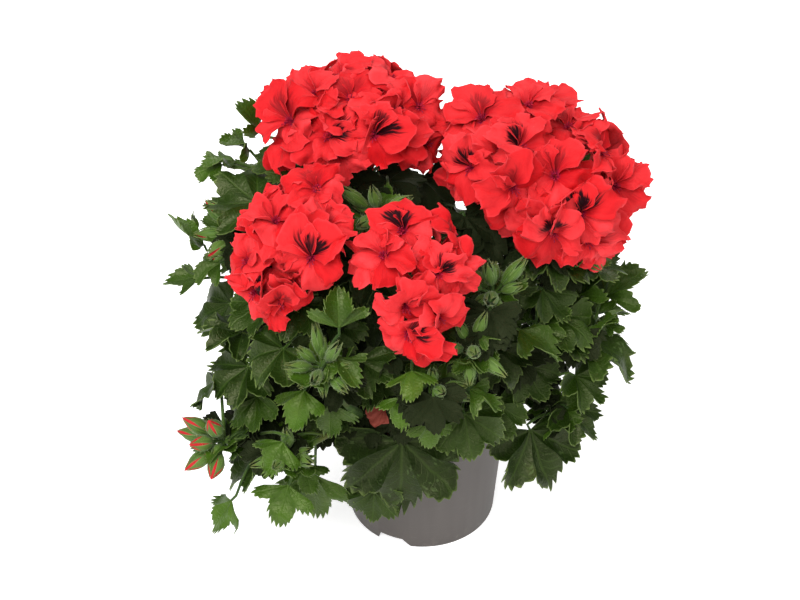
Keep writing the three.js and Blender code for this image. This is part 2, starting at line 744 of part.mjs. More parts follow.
// The pot's cross-section, from the middle of its foot round the outside to the inside
function potSection(extra) {
  const innerFoot = FOOT_RADIUS - WALL;
  const underLip = POT_HEIGHT - LIP_DEPTH;
  const wallRadius = RIM_RADIUS - LIP_STEP;
  const outside = [
    [0, 0], [PAD_RADIUS, 0], [PAD_RADIUS + 3, BOTTOM_LIFT],
    [innerFoot - FOOT_RING, BOTTOM_LIFT], [innerFoot, 0], [FOOT_RADIUS, 0],
    [wallRadius, underLip], [RIM_RADIUS, underLip + 1], [RIM_RADIUS, POT_HEIGHT - 1],
    [RIM_RADIUS - 1, POT_HEIGHT],
  ];
  const inside = [
    [RIM_RADIUS - WALL - 1, POT_HEIGHT], [RIM_RADIUS - WALL - 1.6, underLip + 3],
    [wallRadius - WALL, underLip - 1], [innerFoot - 0.4, BOTTOM_LIFT + WALL],
    [0, BOTTOM_LIFT + WALL],
  ];
  const corners = [
    ...outside.map(([r, z]) => [r > 0 ? r + extra : 0, z > POT_HEIGHT / 2 ? z : z - extra]),
    ...inside.map(([r, z]) => [r > 0 ? r - extra : 0, z]),
  ];
  return corners.map(([r, z]) => new THREE.Vector2(r, z === POT_HEIGHT ? z + extra : z));
}

function turned(section) {
  const geometry = new THREE.LatheGeometry(section, POT_SIDES);
  geometry.rotateX(Math.PI / 2);
  return solidFromGeometry(geometry);
}

// A drainage notch in the foot: one steep side and one slanted side
function footNotch(azimuth) {
  const shape = new THREE.Shape();
  shape.moveTo(-12, -1);
  shape.lineTo(-10, NOTCH_HEIGHT);
  shape.lineTo(6, NOTCH_HEIGHT);
  shape.lineTo(13, -1);
  shape.closePath();
  const notch = new THREE.ExtrudeGeometry(shape, { depth: 16, bevelEnabled: false });
  notch.rotateX(Math.PI / 2);
  notch.translate(0, -FOOT_RADIUS + 10, 0);
  notch.rotateZ(radians(azimuth + 90));
  return solidFromGeometry(notch);
}

function drainHole(k) {
  const hole = new THREE.CylinderGeometry(DRAIN_RADIUS, DRAIN_RADIUS, 12, 6);
  hole.rotateX(Math.PI / 2);
  const angle = (2 * Math.PI * (k + 0.5)) / DRAIN_COUNT;
  hole.translate(DRAIN_CIRCLE * Math.cos(angle), DRAIN_CIRCLE * Math.sin(angle), BOTTOM_LIFT);
  return solidFromGeometry(hole);
}

function potSolid() {
  const cuts = [
    ...NOTCH_AZIMUTHS.map(footNotch),
    ...Array.from({ length: DRAIN_COUNT }, (_, k) => drainHole(k)),
  ];
  return turned(potSection(0)).subtract(join(cuts));
}

// The soil fills the pot to just below the rim, with low hummocks and a hole for each stem
function soilSolid(stems) {
  const innerFoot = FOOT_RADIUS - WALL;
  const wallRadius = RIM_RADIUS - LIP_STEP - WALL;
  const underLip = POT_HEIGHT - LIP_DEPTH;
  const section = [
    [0, BOTTOM_LIFT + WALL + GAP],
    [innerFoot - 1.2, BOTTOM_LIFT + WALL + GAP], [wallRadius - GAP - 0.2, underLip - 1],
    [wallRadius - GAP + 0.6, SOIL_TOP - 1], [34, SOIL_TOP], [0, SOIL_TOP],
  ].map(([r, z]) => new THREE.Vector2(r, z));
  const geometry = new THREE.LatheGeometry(section, POT_SIDES);
  geometry.rotateX(Math.PI / 2);
  const spots = geometry.attributes.position;
  for (let i = 0; i < spots.count; i += 1) {
    if (Math.abs(spots.getZ(i) - SOIL_TOP) < 0.01) {
      const swell = Math.sin(spots.getX(i) / 7) * Math.cos(spots.getY(i) / 9);
      spots.setZ(i, SOIL_TOP + SOIL_HUMMOCK * swell);
    }
  }
  const holes = stems.map((stem) => stemRods(stem, GAP)[0]);
  return solidFromGeometry(geometry).subtract(join(holes));
}

const FINISHES = {
  pot: { color: 0x776e68, roughness: 0.55, metalness: 0 },
  soil: { color: 0x2a1f18, roughness: 0.95, metalness: 0 },
  leaf: { color: 0x35632a, roughness: 0.6, metalness: 0 },
  petal: { color: 0xe8251f, roughness: 0.6, metalness: 0 },
};

function named(name, solid, finish) {
  const material = new THREE.MeshStandardMaterial(FINISHES[finish]);
  const mesh = new THREE.Mesh(geometryFromSolid(solid), material);
  mesh.name = name;
  return mesh;
}

// A cutter is a solid grown by the gap, with the box that it fills
function cutter(solid) {
  return { solid, box: solid.boundingBox() };
}

function boxesMeet(a, b) {
  return [0, 1, 2].every((k) => a.min[k] < b.max[k] && b.min[k] < a.max[k]);
}

// What is left of a solid once everything near it that comes first has been cut away
function giveWay(solid, cutters) {
  const box = solid.boundingBox();
  const near = cutters.filter((other) => boxesMeet(box, other.box)).map((other) => other.solid);
  return near.length > 0 ? solid.subtract(join(near)) : solid;
}

const stems = STEMS.map((row, number) => {
  const axes = stemAxes(row);
  return { ...row, number, axes, starts: placeStalks(row, axes) };
});
const flowers = HEADS.flatMap((head, number) => head.flowers.map((throat, k) => ({
  head: head.name,
  throat: point(throat),
  hub: point(head.hub),
  light: heading(...head.light),
  rank: number * 20 + k,
})));
const flowerCutters = flowers.map((flower) => cutter(flowerSolid(flower, GAP)));
const knobCutters = HEADS.map((head) => cutter(headKnob(head, GAP)));
const tubeCutters = stems.map((stem) => cutter(join(stemTubes(stem, GAP))));

const plant = new THREE.Group();
plant.add(named('pot', potSolid(), 'pot'));
plant.add(named('soil', soilSolid(stems), 'soil'));

// Petals leave room for stalks and buds
HEADS.forEach((head) => {
  const own = flowers.filter((flower) => flower.head === head.name)
    .map((flower) => giveWay(flowerSolid(flower, 0), tubeCutters));
  const whole = join([headKnob(head, 0), ...own]);
  plant.add(named(head.name, mainBody(whole), 'petal'));
});

// Leaves leave room for the leaves before them in the tables, for flowers, the pot and the other
// stems. A stalk that was cut is put back whole, a hair thicker, so that no face of it falls on a
// face of the old one.
const potCutter = cutter(turned(potSection(GAP)));
const leafCutters = [potCutter, ...flowerCutters, ...knobCutters];
stems.forEach((stem) => {
  const others = tubeCutters.filter((_, i) => i !== stem.number);
  const leaves = stem.leaves.map((_, k) => {
    const stalk = leafPart(stem, k, SPLICE, false);
    const stalkIsCut = giveWay(stalk, [...leafCutters, ...others]).volume() < 0.99 * stalk.volume();
    const left = giveWay(leafPart(stem, k, 0, true), [...leafCutters, ...others]);
    leafCutters.push(cutter(leafPart(stem, k, GAP, true)));
    return stalkIsCut ? left.add(stalk) : left;
  });
  const tubes = giveWay(join([...stemRods(stem, 0), ...stemUmbels(stem, 0)]), knobCutters);
  plant.add(named(stem.name, mainBody(join([tubes, ...leaves])), 'leaf'));
});

export default plant;
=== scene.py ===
# %% [markdown]
# This lesson dresses a regal pelargonium that stands in its nursery pot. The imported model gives
# plain solids: a pot, its soil, twelve leafy stems and seven flower heads. Each of them is replaced
# here by finer pieces in the same frame, in metres, with +Z up and the plant's best side along -Y.

# %% Load the plain model
import math

import bmesh
import bpy
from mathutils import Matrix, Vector, noise


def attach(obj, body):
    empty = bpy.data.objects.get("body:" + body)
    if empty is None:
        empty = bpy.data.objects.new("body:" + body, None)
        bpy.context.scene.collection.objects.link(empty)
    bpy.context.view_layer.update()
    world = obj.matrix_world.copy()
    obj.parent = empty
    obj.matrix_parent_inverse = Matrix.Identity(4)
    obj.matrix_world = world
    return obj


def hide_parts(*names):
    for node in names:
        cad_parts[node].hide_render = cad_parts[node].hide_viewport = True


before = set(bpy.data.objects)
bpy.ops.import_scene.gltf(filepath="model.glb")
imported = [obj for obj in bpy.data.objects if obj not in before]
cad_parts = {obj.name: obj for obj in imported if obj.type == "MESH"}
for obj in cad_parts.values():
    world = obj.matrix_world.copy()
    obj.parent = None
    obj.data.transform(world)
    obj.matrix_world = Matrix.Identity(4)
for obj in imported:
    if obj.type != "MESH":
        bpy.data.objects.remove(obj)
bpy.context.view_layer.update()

# %% [markdown]
# The photograph looks down at the plant from the front with a long lens, so that the pot's rim is a
# flat ellipse. The camera looks at a point above the middle of the pot, a little to its left. Sizes
# are written in millimetres and multiplied by MM, because Blender works in metres.

# %% Camera
MM = 0.001
CAMERA_PITCH = math.radians(38.3)
CAMERA_DISTANCE = 1337 * MM
CAMERA_TARGET = Vector((-15, 0, 172)) * MM
CAMERA_LENS = 94.5
SENSOR_WIDTH = 36


def new_object(name, data):
    """Puts an object into the scene, at the origin."""
    made = bpy.data.objects.new(name, data)
    bpy.context.scene.collection.objects.link(made)
    return made


camera_data = bpy.data.cameras.new("camera")
camera_data.sensor_width = SENSOR_WIDTH
camera_data.lens = CAMERA_LENS
camera = new_object("camera", camera_data)
back_and_up = Vector((0, -math.cos(CAMERA_PITCH), math.sin(CAMERA_PITCH)))
camera.location = CAMERA_TARGET + CAMERA_DISTANCE * back_and_up
camera.rotation_euler = (math.pi / 2 - CAMERA_PITCH, 0, 0)
bpy.context.scene.camera = camera
print("camera at", [round(value, 3) for value in camera.location])

# %% [markdown]
# The plant grows by a plan that was read off the photograph. A stem has its foot in the soil, a
# point that bends it and a tip, and forks leave it at a share of its length. A leaf is its middle,
# its width, the azimuth and pitch of its tip, its roll and its form. An umbel of buds is its hub,
# its azimuth and pitch, the number of buds and their length. All lengths are in millimetres.

# %% Plan of the stems
STEMS = [
    {
        "name": "stem_front", "foot": [2, -17], "bend": [-6, -52, 130], "tip": [-8, -66, 214],
        "forks": [
            [1, [-8, -66, 232], [-6, -68, 246]],
            [0.75, [0, -80, 172], [5, -94, 180]],
        ],
        "leaves": [
            [-14, -75, 100, 84, 268, -62, 0, "fan"], [-32, -78, 70, 38, 252, -70, 0, "fan"],
            [3, -104, 150, 28, 275, -72, 0, "wedge"], [-14, -108, 172, 30, 256, -45, 0, "wedge"],
            [-8, -108, 194, 30, 270, -16, 0, "wedge"], [-30, -66, 164, 50, 255, -34, 0, "fan"],
            [4, -62, 164, 42, 272, -34, 0, "fan"], [-34, -44, 226, 48, 250, -20, 0, "fan"],
        ],
        "umbels": [[5, -94, 180, 280, 8, 3, 13]],
    },
    {
        "name": "stem_front_left", "foot": [-10, -26], "bend": [-44, -64, 120], "tip": [-60, -86, 184],
        "forks": [
            [1, [-60, -92, 190], [-61, -95, 196]],
            [0.5, [-64, -80, 124], [-83, -88, 120]],
        ],
        "leaves": [
            [-88, -108, 96, 40, 242, -48, 0, "wedge"], [-73, -82, 94, 30, 290, -30, 0, "wedge"],
            [-70, -70, 66, 50, 262, -74, 0, "wedge"], [-77, -96, 164, 38, 244, -38, 0, "wedge"],
            [-58, -93, 152, 34, 264, -64, 0, "wedge"], [-51, -92, 238, 36, 95, 66, 0, "wedge"],
            [-46, -106, 204, 32, 308, -12, 0, "wedge"], [-38, -86, 186, 42, 280, -22, 0, "fan"],
            [-64, -58, 132, 50, 250, -34, 0, "fan"],
        ],
        "umbels": [
            [-61, -95, 196, 262, 42, 5, 16],
            [-83, -88, 120, 240, 42, 4, 15],
        ],
    },
    {
        "name": "stem_front_right", "foot": [13, -19], "bend": [30, -50, 120], "tip": [34, -66, 200],
        "forks": [
            [1, [38, -62, 214], [41, -60, 224]],
            [0.8, [28, -76, 196], [27, -86, 204]],
        ],
        "leaves": [
            [26, -88, 142, 50, 286, -44, 0, "fan"], [46, -72, 138, 42, 300, -30, 0, "fan"],
            [36, -100, 178, 32, 342, -16, 10, "wedge"], [38, -90, 218, 24, 350, 5, 0, "wedge"],
            [70, -66, 192, 46, 330, -14, 14, "wedge"], [46, -58, 172, 50, 310, -34, 0, "fan"],
            [46, -34, 212, 52, 296, -24, 0, "fan"], [29, -54, 128, 44, 286, -38, 0, "fan"],
        ],
        "umbels": [
            [41, -60, 224, 270, 65, 4, 15],
            [27, -86, 204, 300, 24, 3, 14],
        ],
    },
    {
        "name": "stem_left_front", "foot": [-16, -12], "bend": [-66, -34, 130], "tip": [-80, -46, 214],
        "forks": [[1, [-80, -48, 232], [-79, -50, 247]]],
        "leaves": [
            [-120, -42, 182, 46, 172, 12, 0, "fan"], [-115, -66, 166, 50, 202, -28, 10, "fan"],
            [-90, -82, 192, 46, 226, -26, 0, "fan"], [-78, -62, 212, 46, 240, -22, 0, "fan"],
            [-60, -53, 184, 48, 250, -28, 0, "fan"], [-104, -44, 200, 46, 205, -20, 0, "fan"],
            [-50, -42, 214, 50, 262, -24, 0, "fan"],
        ],
        "umbels": [],
    },
    {
        "name": "stem_right_front", "foot": [20, -9], "bend": [50, -26, 122], "tip": [70, -34, 180],
        "forks": [[0.55, [70, -34, 118], [84, -40, 112]]],
        "leaves": [
            [72, -60, 100, 70, 306, -52, 0, "fan"], [98, -42, 110, 46, 328, -32, 0, "fan"],
            [102, -36, 133, 44, 332, -28, 0, "fan"], [78, -26, 194, 44, 318, -30, 0, "fan"],
            [66, -46, 150, 50, 312, -30, 0, "fan"], [90, -26, 174, 48, 334, -24, 0, "fan"],
        ],
        "umbels": [],
    },
    {
        "name": "stem_low_left", "foot": [-23, -22], "bend": [-64, -46, 118], "tip": [-112, -76, 120],
        "forks": [[1, [-118, -78, 121], [-124, -80, 124]]],
        "leaves": [
            [-134, -56, 146, 40, 194, -50, -30, "fan"], [-108, -74, 148, 42, 212, -38, 0, "fan"],
            [-92, -107, 135, 34, 230, -34, 0, "wedge"], [-109, -76, 104, 54, 202, -34, 0, "fan"],
            [-127, -99, 79, 36, 208, -50, 0, "wedge"], [-94, -30, 110, 62, 190, -34, 0, "fan"],
        ],
        "umbels": [[-124, -80, 124, 205, 22, 6, 17]],
    },
    {
        "name": "stem_left", "foot": [-19, -2], "bend": [-60, -2, 130], "tip": [-104, -8, 214],
        "forks": [[1, [-112, -10, 226], [-114, -12, 234]]],
        "leaves": [
            [-92, 6, 244, 44, 160, 14, 0, "fan"], [-112, -8, 254, 58, 186, 4, 18, "fan"],
            [-144, -4, 232, 44, 165, 56, -15, "wedge"], [-151, -14, 201, 32, 182, 0, 0, "wedge"],
            [-134, -22, 212, 30, 200, -25, 0, "wedge"], [-106, -27, 218, 40, 210, -26, 0, "fan"],
            [-110, 34, 182, 54, 150, -12, 0, "fan"], [-130, -6, 170, 50, 184, -26, 0, "fan"],
            [-112, 6, 140, 60, 176, -30, 0, "fan"],
        ],
        "umbels": [[-114, -12, 234, 195, 5, 4, 14]],
    },
    {
        "name": "stem_right", "foot": [20, 4], "bend": [58, 4, 150], "tip": [72, 8, 210],
        "forks": [
            [1, [60, 12, 236], [54, 16, 260]],
            [0.95, [84, 8, 224], [90, 10, 248]],
            [0.5, [84, 0, 140], [110, -4, 160]],
            [0.8, [84, -2, 200], [98, -4, 216]],
        ],
        "leaves": [
            [120, -14, 145, 62, 350, -16, 10, "wedge"], [98, -22, 160, 44, 335, -14, 0, "fan"],
            [128, 14, 176, 46, 18, 36, -10, "wedge"], [106, 6, 184, 42, 30, 46, 0, "wedge"],
            [124, 6, 158, 26, 5, 0, 0, "wedge"], [84, -14, 214, 54, 328, -18, 0, "fan"],
            [112, 6, 197, 44, 352, -8, 0, "fan"], [54, 4, 226, 50, 290, -14, 0, "fan"],
            [112, 22, 128, 60, 8, -32, 0, "fan"],
        ],
        "umbels": [[98, -4, 216, 350, 10, 2, 12]],
    },
    {
        "name": "stem_left_back", "foot": [-14, 10], "bend": [-38, 22, 150], "tip": [-44, 28, 212],
        "forks": [
            [1, [-44, 30, 240], [-42, 30, 268]],
            [0.55, [-70, 26, 190], [-98, 26, 250]],
        ],
        "leaves": [
            [-106, 35, 288, 36, 170, 62, 0, "wedge"], [-115, 28, 274, 32, 195, 45, 0, "wedge"],
            [-126, 26, 264, 30, 185, 20, -20, "wedge"], [-134, 25, 257, 28, 190, -8, 0, "wedge"],
            [-90, 18, 266, 40, 198, 4, 0, "fan"], [-84, 62, 238, 52, 130, 14, 0, "fan"],
            [-100, 52, 212, 50, 150, -6, 0, "fan"],
        ],
        "umbels": [],
    },
    {
        "name": "stem_middle", "foot": [0, 2], "bend": [-4, -4, 150], "tip": [-20, -18, 240],
        "forks": [[1, [-24, -22, 250], [-28, -26, 258]]],
        "leaves": [
            [26, 10, 222, 52, 278, -14, 0, "fan"], [-2, 40, 224, 44, 88, 4, 0, "fan"],
            [4, -22, 228, 50, 275, -22, 0, "fan"], [-44, -4, 240, 50, 240, -10, 0, "fan"],
            [14, -40, 176, 54, 285, -34, 0, "fan"], [-26, -30, 186, 54, 245, -30, 0, "fan"],
        ],
        "umbels": [[-28, -26, 258, 262, 52, 4, 15]],
    },
    {
        "name": "stem_back_right", "foot": [10, 20], "bend": [44, 46, 130], "tip": [64, 70, 168],
        "forks": [[1, [70, 75, 180], [72, 78, 194]]],
        "leaves": [
            [112, 54, 152, 60, 25, -24, 0, "fan"], [94, 94, 150, 58, 48, -28, 0, "fan"],
            [58, 112, 142, 60, 72, -34, 0, "fan"], [104, 76, 108, 64, 38, -38, 0, "fan"],
            [52, 92, 104, 62, 62, -40, 0, "fan"], [94, 50, 204, 48, 26, 4, 0, "fan"],
            [30, 66, 186, 50, 100, 2, 0, "fan"], [16, 112, 122, 60, 82, -38, 0, "fan"],
        ],
        "umbels": [],
    },
    {
        "name": "stem_back_left", "foot": [-10, 22], "bend": [-34, 56, 126], "tip": [-40, 80, 172],
        "forks": [[1, [-42, 86, 184], [-42, 88, 198]]],
        "leaves": [
            [-108, 84, 164, 54, 144, -12, 0, "fan"], [-98, 92, 134, 62, 134, -30, 0, "fan"],
            [-54, 122, 142, 58, 112, -28, 0, "fan"], [-10, 116, 154, 56, 90, -24, 0, "fan"],
            [-114, 58, 112, 64, 158, -36, 0, "fan"], [-30, 104, 98, 62, 104, -40, 0, "fan"],
            [-86, 66, 206, 46, 144, 8, 0, "fan"], [0, 84, 192, 46, 70, 6, 0, "fan"],
            [-72, 96, 100, 60, 126, -40, 0, "fan"],
        ],
        "umbels": [],
    },
]
print(len(STEMS), "stems with", sum(len(stem["umbels"]) for stem in STEMS), "umbels of buds")

# %% [markdown]
# A flower head has a hub, where its flower stalks meet, and a light: the azimuth and pitch that its
# flowers lean towards. Each row is the throat of one flower, the foremost first, because a flower
# spreads over those that come after it.

# %% Plan of the flower heads
HEADS = [
    {
        "name": "head_upper_left", "hub": [-42, 30, 268], "light": [265, 48],
        "flowers": [
            [-30, -4, 301], [-57, 1, 295], [-79, 13, 298], [-64, 25, 310], [-44, 17, 310],
            [-20, 15, 304], [-4, 22, 303], [-2, 8, 286], [-23, 39, 309], [-50, 44, 309],
            [-76, 41, 297], [-35, 63, 295], [-61, 60, 288],
        ],
    },
    {
        "name": "head_upper_right", "hub": [54, 16, 260], "light": [272, 45],
        "flowers": [
            [51, -24, 278], [29, -15, 285], [35, 12, 299], [55, -6, 292], [27, 1, 269],
            [62, 24, 300], [39, 39, 287], [68, 44, 283],
        ],
    },
    {
        "name": "head_right", "hub": [90, 10, 248], "light": [290, 40],
        "flowers": [
            [78, -16, 278], [76, -30, 251], [94, -23, 258], [87, 20, 287], [103, 4, 280],
            [114, 2, 260], [98, -21, 237], [108, 28, 266], [92, 44, 264],
        ],
    },
    {
        "name": "head_left", "hub": [-79, -50, 247], "light": [262, 42],
        "flowers": [
            [-66, -81, 268], [-58, -66, 276], [-86, -83, 241], [-102, -66, 255], [-99, -76, 239],
            [-88, -60, 276], [-63, -44, 288], [-95, -39, 269],
        ],
    },
    {
        "name": "head_centre", "hub": [-6, -68, 246], "light": [272, 40],
        "flowers": [
            [-13, -101, 250], [7, -91, 265], [-10, -104, 231], [5, -101, 242], [-12, -73, 280],
            [-23, -84, 270], [12, -69, 270],
        ],
    },
    {
        "name": "head_back_left", "hub": [-42, 88, 198], "light": [100, 45],
        "flowers": [
            [-30, 112, 214], [-54, 116, 204], [-68, 96, 212], [-46, 86, 230], [-22, 92, 222],
        ],
    },
    {
        "name": "head_back_right", "hub": [72, 78, 194], "light": [70, 45],
        "flowers": [
            [84, 102, 208], [62, 108, 202], [98, 84, 206], [72, 80, 226], [50, 88, 212],
        ],
    },
]
print(len(HEADS), "heads with", sum(len(head["flowers"]) for head in HEADS), "flowers")

# %% [markdown]
# Nothing on a plant is quite regular, but the model has to come out the same each time. So every
# small difference is a repeatable draw, worked out from a number of its own. A direction is written
# as an azimuth, counted from +X towards +Y, and a pitch above the level. Blender's vector noise takes
# its offsets from a seed that is the clock's time unless it is set, so it is set here.

# %% Draws and directions
UP = Vector((0, 0, 1))
FULL_TURN = 6.28
DRAW_LIMIT = 2147483647
DRAW_FACTOR = 48271
NOISE_SEED = 11
noise.seed_set(NOISE_SEED)


def vary(number, low, high):
    """A repeatable draw between low and high, worked out from its own number alone."""
    state = (number * 7919 + 17) % DRAW_LIMIT
    for _ in range(3):
        state = (state * DRAW_FACTOR) % DRAW_LIMIT
    return low + (high - low) * state / DRAW_LIMIT


def heading(azimuth, pitch):
    """A direction from its azimuth and its pitch, in degrees."""
    level = math.cos(math.radians(pitch))
    x = level * math.cos(math.radians(azimuth))
    y = level * math.sin(math.radians(azimuth))
    return Vector((x, y, math.sin(math.radians(pitch))))


def spun(side, other, angle):
    """The direction at an angle from side, turning towards other."""
    return side * math.cos(angle) + other * math.sin(angle)


def smooth(low, high, value):
    """0 below low, 1 above high and a smooth rise between them."""
    share = min(max((value - low) / (high - low), 0), 1)
    return share * share * (3 - 2 * share)


def bend_through(start, pull, end, steps):
    """Points on the curve from start to end that a third point pulls."""
    shares = [k / steps for k in range(steps + 1)]
    return [start * (1 - t) ** 2 + pull * (2 * t * (1 - t)) + end * t ** 2 for t in shares]


print("three draws between 0 and 1:", [round(vary(number, 0, 1), 3) for number in (1, 2, 3)])

# %% [markdown]
# Regal pelargoniums have two sorts of leaf. Old ones are broad and kidney-shaped with shallow lobes,
# and are called fan here. Young ones are narrow and deeply cut, and are called wedge. Their shape is
# written in polar form round the place where the stalk meets the blade: spread is the largest angle
# from the midrib, and reach is how far the blade goes, as a share of its width.

# %% Leaf forms and leaf axes
LEAF_FORMS = {
    "fan": {
        "spread": 116, "lobes": 5, "cut": 0.25, "taper": 0.16, "reach": 0.56, "middle": 0.3,
        "cup": 0.12, "droop": 0.2, "pleat": 0.21, "teeth": 30, "tooth": 0.1, "round": 0.9,
        "vein_pitch": 1,
    },
    "wedge": {
        "spread": 72, "lobes": 2, "cut": 0.42, "taper": 0.1, "reach": 0.64, "middle": 0.5,
        "cup": 0.08, "droop": 0.2, "pleat": 0.22, "teeth": 20, "tooth": 0.125, "round": 0.8,
        "vein_pitch": 0.5,
    },
}


def leaf_axes(azimuth, pitch, roll):
    """Out along the midrib, across the blade, and up from its upper face."""
    out = heading(azimuth, pitch)
    turn = math.radians(azimuth)
    level = Vector((math.sin(turn), -math.cos(turn), 0))
    upright = level.cross(out)
    across = spun(level, upright, math.radians(roll))
    return out, across, across.cross(out)


def leaf_root(leaf):
    """Where a blade meets its stalk, and how far it reaches from there."""
    x, y, z, width, azimuth, pitch, _, kind = leaf
    form = LEAF_FORMS[kind]
    reach = form["reach"] * width
    return Vector((x, y, z)) - heading(azimuth, pitch) * (form["middle"] * reach), reach


kinds = [leaf[7] for stem in STEMS for leaf in stem["leaves"]]
print(kinds.count("fan"), "fan leaves and", kinds.count("wedge"), "wedge leaves")

# %% [markdown]
# The stems rise out of the soil and branch. Each leaf's stalk leaves its stem where it climbs about
# half as far as it runs out, above the pot's rim and clear of the stalks that are there already.

# %% Paths of the stems and of the leaf stalks
SOIL_TOP = 84
ROOT_DEPTH = 24
POT_HEIGHT = 94
ABOVE_RIM = 6
RIM_ARCH = 30
STALK_SPACING = 8
STALK_CLIMB = 0.5
STALK_PULL = 0.55
STALK_ARCH = 0.22
KNEE_BACK = 4
KNEE_DROP = 1
HEAD_KNOB_RADIUS = 12
LENGTH_COST = 0.3
CROWDED_COST = 1000


def stem_axes(stem):
    """The curves of one leafy stem: the first rises out of the soil, and forks leave it."""
    x, y = stem["foot"]
    collar = Vector((x, y, SOIL_TOP + 2))
    bend, tip = Vector(stem["bend"]), Vector(stem["tip"])
    axes = [[Vector((x, y, SOIL_TOP - ROOT_DEPTH)), *bend_through(collar, bend, tip, 5)]]
    for share, fork_bend, fork_tip in stem["forks"]:
        start = collar * (1 - share) ** 2 + bend * (2 * share * (1 - share)) + tip * share ** 2
        axes.append(bend_through(start, Vector(fork_bend), Vector(fork_tip), 3))
    return axes


def stalk_starts(stem, axes):
    """A place on the stem for the stalk of each of its leaves."""
    hubs = [Vector(head["hub"]) for head in HEADS]
    places = []
    for axis in axes:
        for before, spot in zip(axis, axis[1:]):
            places += [before.lerp(spot, share) for share in (0.25, 0.5, 0.75, 1)]
    clear = HEAD_KNOB_RADIUS + STALK_SPACING
    places = [p for p in places if p.z > POT_HEIGHT + ABOVE_RIM]
    places = [p for p in places if all((hub - p).length >= clear for hub in hubs)]
    taken = []
    for leaf in stem["leaves"]:
        root = leaf_root(leaf)[0]

        def effort(spot):
            run = math.hypot(root.x - spot.x, root.y - spot.y)
            crowded = any((other - spot).length < STALK_SPACING for other in taken)
            climb = abs(root.z - spot.z - STALK_CLIMB * run)
            return climb + LENGTH_COST * (root - spot).length + CROWDED_COST * crowded

        taken.append(min(places, key=effort))
    return taken


def stalk_path(leaf, start, steps):
    """A stalk arches over from its stem and ends in a short knee just behind the blade."""
    root = leaf_root(leaf)[0]
    out, _, up = leaf_axes(*leaf[4:7])
    knee = root - out * KNEE_BACK - up * KNEE_DROP
    pull = start.lerp(knee, STALK_PULL) + UP * STALK_ARCH * (knee - start).length
    if knee.z < POT_HEIGHT + ABOVE_RIM:
        pull.z = max(pull.z, POT_HEIGHT + RIM_ARCH)
    return [*bend_through(start, pull, knee, steps), root]


for number, stem in enumerate(STEMS):
    stem["number"] = number
    stem["axes"] = stem_axes(stem)
    stem["starts"] = stalk_starts(stem, stem["axes"])
print(sum(len(stem["axes"]) for stem in STEMS), "stem curves and", len(kinds), "leaf stalks")

# %% [markdown]
# Blades and petals are thin, but they have two faces. A sheet of points could be thickened by a
# modifier. Here each sheet gets its lower face and its rim straight away, because then its points
# can carry values of their own: uv is the place along and across the blade, tone is a draw for each
# blade, and under is 0 on the upper face and 1 on the lower one. A last value is the strength of a
# petal's blotch, and on a leaf the strength of its painted shade. The finishes read them later.

# %% Closed sheets
def new_shape():
    """Lists that gather the points and faces of all the sheets of one piece."""
    return {"points": [], "faces": [], "uv": [], "tone": [], "under": [], "blotch_and_shade": []}


def grid_faces(rows, columns, first=0):
    """The faces of a grid of points, given row by row from the first point on."""
    row = columns + 1
    corners = [first + j * row + i for j in range(rows) for i in range(columns)]
    return [(here, here + 1, here + row + 1, here + row) for here in corners]


def sheet_normals(top, faces):
    """A unit normal for each point of a sheet, averaged over the faces round it."""
    normals = [Vector((0, 0, 0)) for _ in top]
    for face in faces:
        a, b, c, d = top[face[0]], top[face[1]], top[face[2]], top[face[-1]]
        square = (c - a).cross(d - b)
        for i in face:
            normals[i] += square
    return [normal.normalized() for normal in normals]


def add_sheet(shape, top, faces, thickness, uv, tone, blotch_and_shade=0):
    """Adds a thin closed sheet: its upper face, the same face lower down, and the rim."""
    first, count = len(shape["points"]), len(top)
    normals = sheet_normals(top, faces)
    shape["points"] += top
    shape["points"] += [spot - normal * thickness for spot, normal in zip(top, normals)]
    shape["uv"] += uv * 2
    shape["tone"] += [tone] * (2 * count)
    shape["blotch_and_shade"] += [blotch_and_shade] * (2 * count)
    shape["under"] += [0] * count + [1] * count
    edges = set()
    for face in faces:
        shape["faces"].append([first + i for i in face])
        shape["faces"].append([first + count + i for i in reversed(face)])
        edges.update(zip(face, [*face[1:], face[0]]))
    for i, j in edges:
        if (j, i) not in edges:
            shape["faces"].append([first + j, first + i, first + count + i, first + count + j])


print("a shape gathers", ", ".join(new_shape()))

# %% [markdown]
# A shape becomes a mesh that carries these values and its finish. Each finished piece then rides on
# the plant's one body, and the plain solids that it stands for are hidden.

# %% Pieces
CREASE = math.radians(50)


def make_piece(name, shape, material):
    """Turns a shape in millimetres into an object in metres, at the origin."""
    mesh = bpy.data.meshes.new(name)
    mesh.from_pydata([spot * MM for spot in shape["points"]], [], shape["faces"])
    uv_map = mesh.uv_layers.new(name="UVMap")
    for loop in mesh.loops:
        uv_map.data[loop.index].uv = shape["uv"][loop.vertex_index]
    for label in ("tone", "under", "blotch_and_shade"):
        values = mesh.attributes.new(label, "FLOAT", "POINT")
        values.data.foreach_set("value", shape[label])
    mesh.shade_smooth()
    mesh.set_sharp_from_angle(angle=CREASE)
    mesh.materials.append(material)
    return new_object(name, mesh)


def own_name(owner, kind):
    """The name of a stem's or a head's own piece, such as leaves_front for stem_front."""
    return kind + owner["name"][owner["name"].index("_"):]


def hand_over(piece, slot, *nodes):
    """A finished piece moves with the plant and stands for its plain solids."""
    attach(piece, "root")
    if nodes:
        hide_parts(*nodes)
    print(piece.name, "of", len(piece.data.polygons), "faces")


print("the leaves of", STEMS[0]["name"], "are called", own_name(STEMS[0], "leaves"))

# %% [markdown]
# A finish is a network of shader nodes. A larger effect, such as the net of veins, is a node group
# with named inputs, so that any finish can use it. The helpers below keep a network short to write:
# calc is one Math node, fade turns a range of values into 0 to 1, and mix blends two colours.

# %% Helpers for nodes
def join(tree, socket, value):
    """Sets a socket to a value, or links it to another node's output."""
    if isinstance(value, bpy.types.NodeSocket):
        tree.links.new(value, socket)
    elif socket.type == "RGBA" and len(value) == 3:
        socket.default_value = (*value, 1)
    else:
        socket.default_value = value


